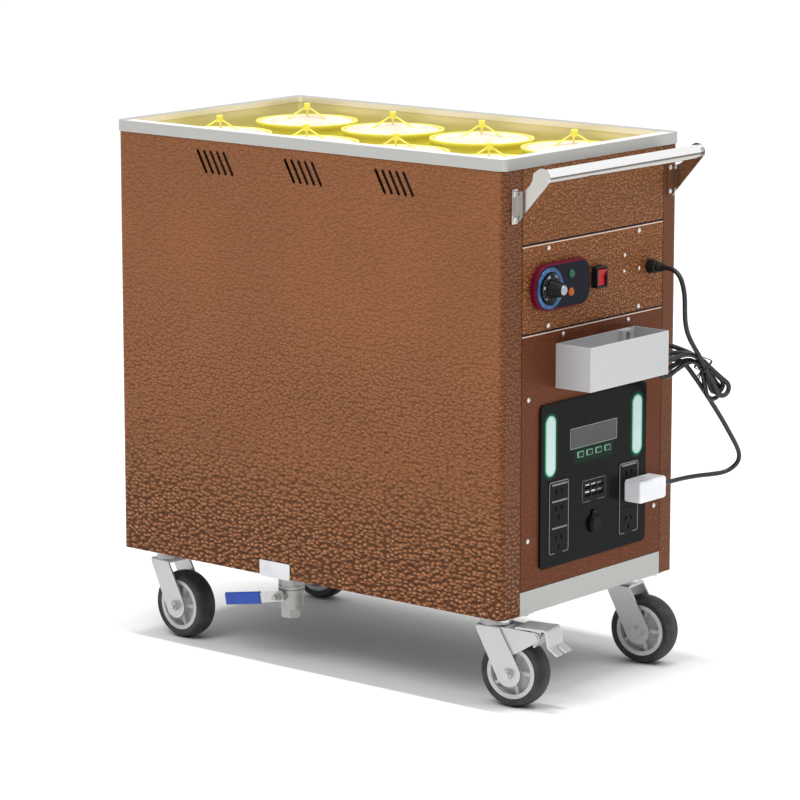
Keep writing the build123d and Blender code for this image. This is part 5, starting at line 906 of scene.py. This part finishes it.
def hank_fold(reach, angle, heading, radius):
    """The places round the outer end of a turn: in along one strand, round the fold and back."""
    out = radius / math.cos(math.radians(FOLD_STEP / 2))
    bend = [reach * pointing(angle) + out * pointing(heading + step * FOLD_STEP) for step in range(-2, 3)]
    entry = bend[0] - FOLD_LEAD * pointing(heading - 2.5 * FOLD_STEP + 90)
    leaving = bend[-1] - FOLD_LEAD * pointing(heading + 2.5 * FOLD_STEP - 90)
    return [(place.length, math.degrees(math.atan2(place.y, place.x))) for place in [entry, *bend, leaving]]


HANK_TURNS = [
    [(7, -110), (19, -72)]
    + hank_fold(46, -52, -52, 11)
    + [(12, -32), (10, 120), (30, 143), (46, 160)]
    + hank_fold(62, 181, 205, 12.5)
    + [(25, 164), (9, 158)],
    [(9, -70), (20, -66)]
    + hank_fold(40, -54, -54, 11)
    + [(8, -10), (10, 115), (28, 141)]
    + hank_fold(57, 172, 198, 12)
    + [(26, 162), (9, 160)],
    [(8, -75), (20, -75)]
    + hank_fold(48, -62, -58, 12)
    + [(13, -30), (10, 112), (28, 138)]
    + hank_fold(61, 162, 180, 13)
    + [(28, 164)],
]

along = Vector((math.cos(HANK_HEADING), math.sin(HANK_HEADING), 0.0))
upward = Vector((0.0, 0.0, 1.0))
outward = along.cross(upward)
route = [Vector(point) for point in CORD_UPPER]
for turn, places in enumerate(HANK_TURNS):
    for index, (reach, angle) in enumerate(places):
        level = HANK_FRONT - HANK_STEP * (turn + index / len(places))
        if turn == 0:
            level += HANK_ENTRY * max(0.0, 1.0 - index / ENTRY_PLACES)
        spot = reach * pointing(angle)
        route.append(HANK_TIE + along * spot.x + upward * spot.y + outward * level)
route += [Vector(point) for point in CORD_LOWER]
route = [point / 1000 + BODY_MIDDLE for point in route]

lead = bpy.data.curves.new("mains_lead", "CURVE")
lead.dimensions = "3D"
lead.bevel_depth = CORD_DIAMETER / 2
lead.bevel_resolution = 5
lead.resolution_u = 6
lead.use_fill_caps = True
run = lead.splines.new("NURBS")
run.points.add(len(route) - 1)
for stop, point in zip(run.points, route):
    stop.co = (*point, 1.0)
run.order_u = 3
run.use_endpoint_u = True
cord = bpy.data.objects.new("mains_lead", lead)
bpy.context.collection.objects.link(cord)

rubber = moulded("cord_rubber", (20, 20, 22), 0.3, size=0.0016, depth=0.00004, sheen=0.5)[0]
lead.materials.append(rubber)
dress(rubber, "cord_tie")
dress(moulded("white_plastic", (250, 252, 255), 0.3)[0], "plug")
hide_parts("cord_upper", "cord_hank", "cord_lower")
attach(cord, "cart")

# The studio: a white floor and surround, one long high lamp for the soft shadow under the cart
# and two broad soft lamps. The camera looks at the control end's near corner.

scene = bpy.context.scene
scene.view_settings.view_transform = "Standard"

camera = bpy.data.cameras.new("camera")
camera.lens = 172.03
camera.sensor_width = 36.0
camera.clip_end = 100.0
viewpoint = bpy.data.objects.new("camera", camera)
viewpoint.location = (3.51976, -4.2919, 1.4654)
viewpoint.rotation_euler = (math.radians(78.924), 0.0, math.radians(39.514))
bpy.context.collection.objects.link(viewpoint)
scene.camera = viewpoint


def seen_white(tree):
    """A mask of the rays that see the surround: straight from the camera, in gloss or through glass."""
    rays = put(tree, "LightPath").outputs
    seen = sums(tree, "MAXIMUM", rays["Is Camera Ray"], rays["Is Glossy Ray"])
    return sums(tree, "MAXIMUM", seen, rays["Is Transmission Ray"])


world = bpy.data.worlds.new("surround")
scene.world = world
world.use_nodes = True
tree = world.node_tree
upward = axes_of(tree, put(tree, "TexCoord").outputs["Generated"])["Z"]
sky = remap(tree, upward, 0.36, 0.68, 0.03, 0.95)
strength = between(tree, seen_white(tree), sky, 1.0)
tree.links.new(strength, tree.nodes["Background"].inputs["Strength"])
tree.nodes["Background"].inputs["Color"].default_value = (1.0, 1.0, 1.0, 1.0)

LAMPS = {
    "overhead": ((0.0, -1.26, 30.0), (0.0, 0.0, 0.0), (12.0, 1.2), 5000.0),
    "softbox_left": ((0.2, -2.8, 4.0), (0.0, 0.0, 0.4), (2.0, 2.0), 58.0),
    "softbox_right": ((2.6, 0.8, 4.2), (0.0, 0.0, 0.4), (2.0, 2.0), 46.0),
}
for name, (spot, target, (length, width), energy) in LAMPS.items():
    panel = bpy.data.lights.new(name, "AREA")
    panel.shape = "RECTANGLE"
    panel.size = length
    panel.size_y = width
    panel.energy = energy
    lamp = bpy.data.objects.new(name, panel)
    lamp.location = spot
    lamp.rotation_euler = (Vector(target) - lamp.location).to_track_quat("-Z", "Y").to_euler()
    bpy.context.collection.objects.link(lamp)

bpy.ops.object.select_all(action="DESELECT")
bpy.ops.mesh.primitive_plane_add(size=60.0)
floor = bpy.context.object
floor.name = "floor"
floor.data.materials.append(finish("white_floor", (0.92, 0.92, 0.92, 1.0), 0.9)[0])
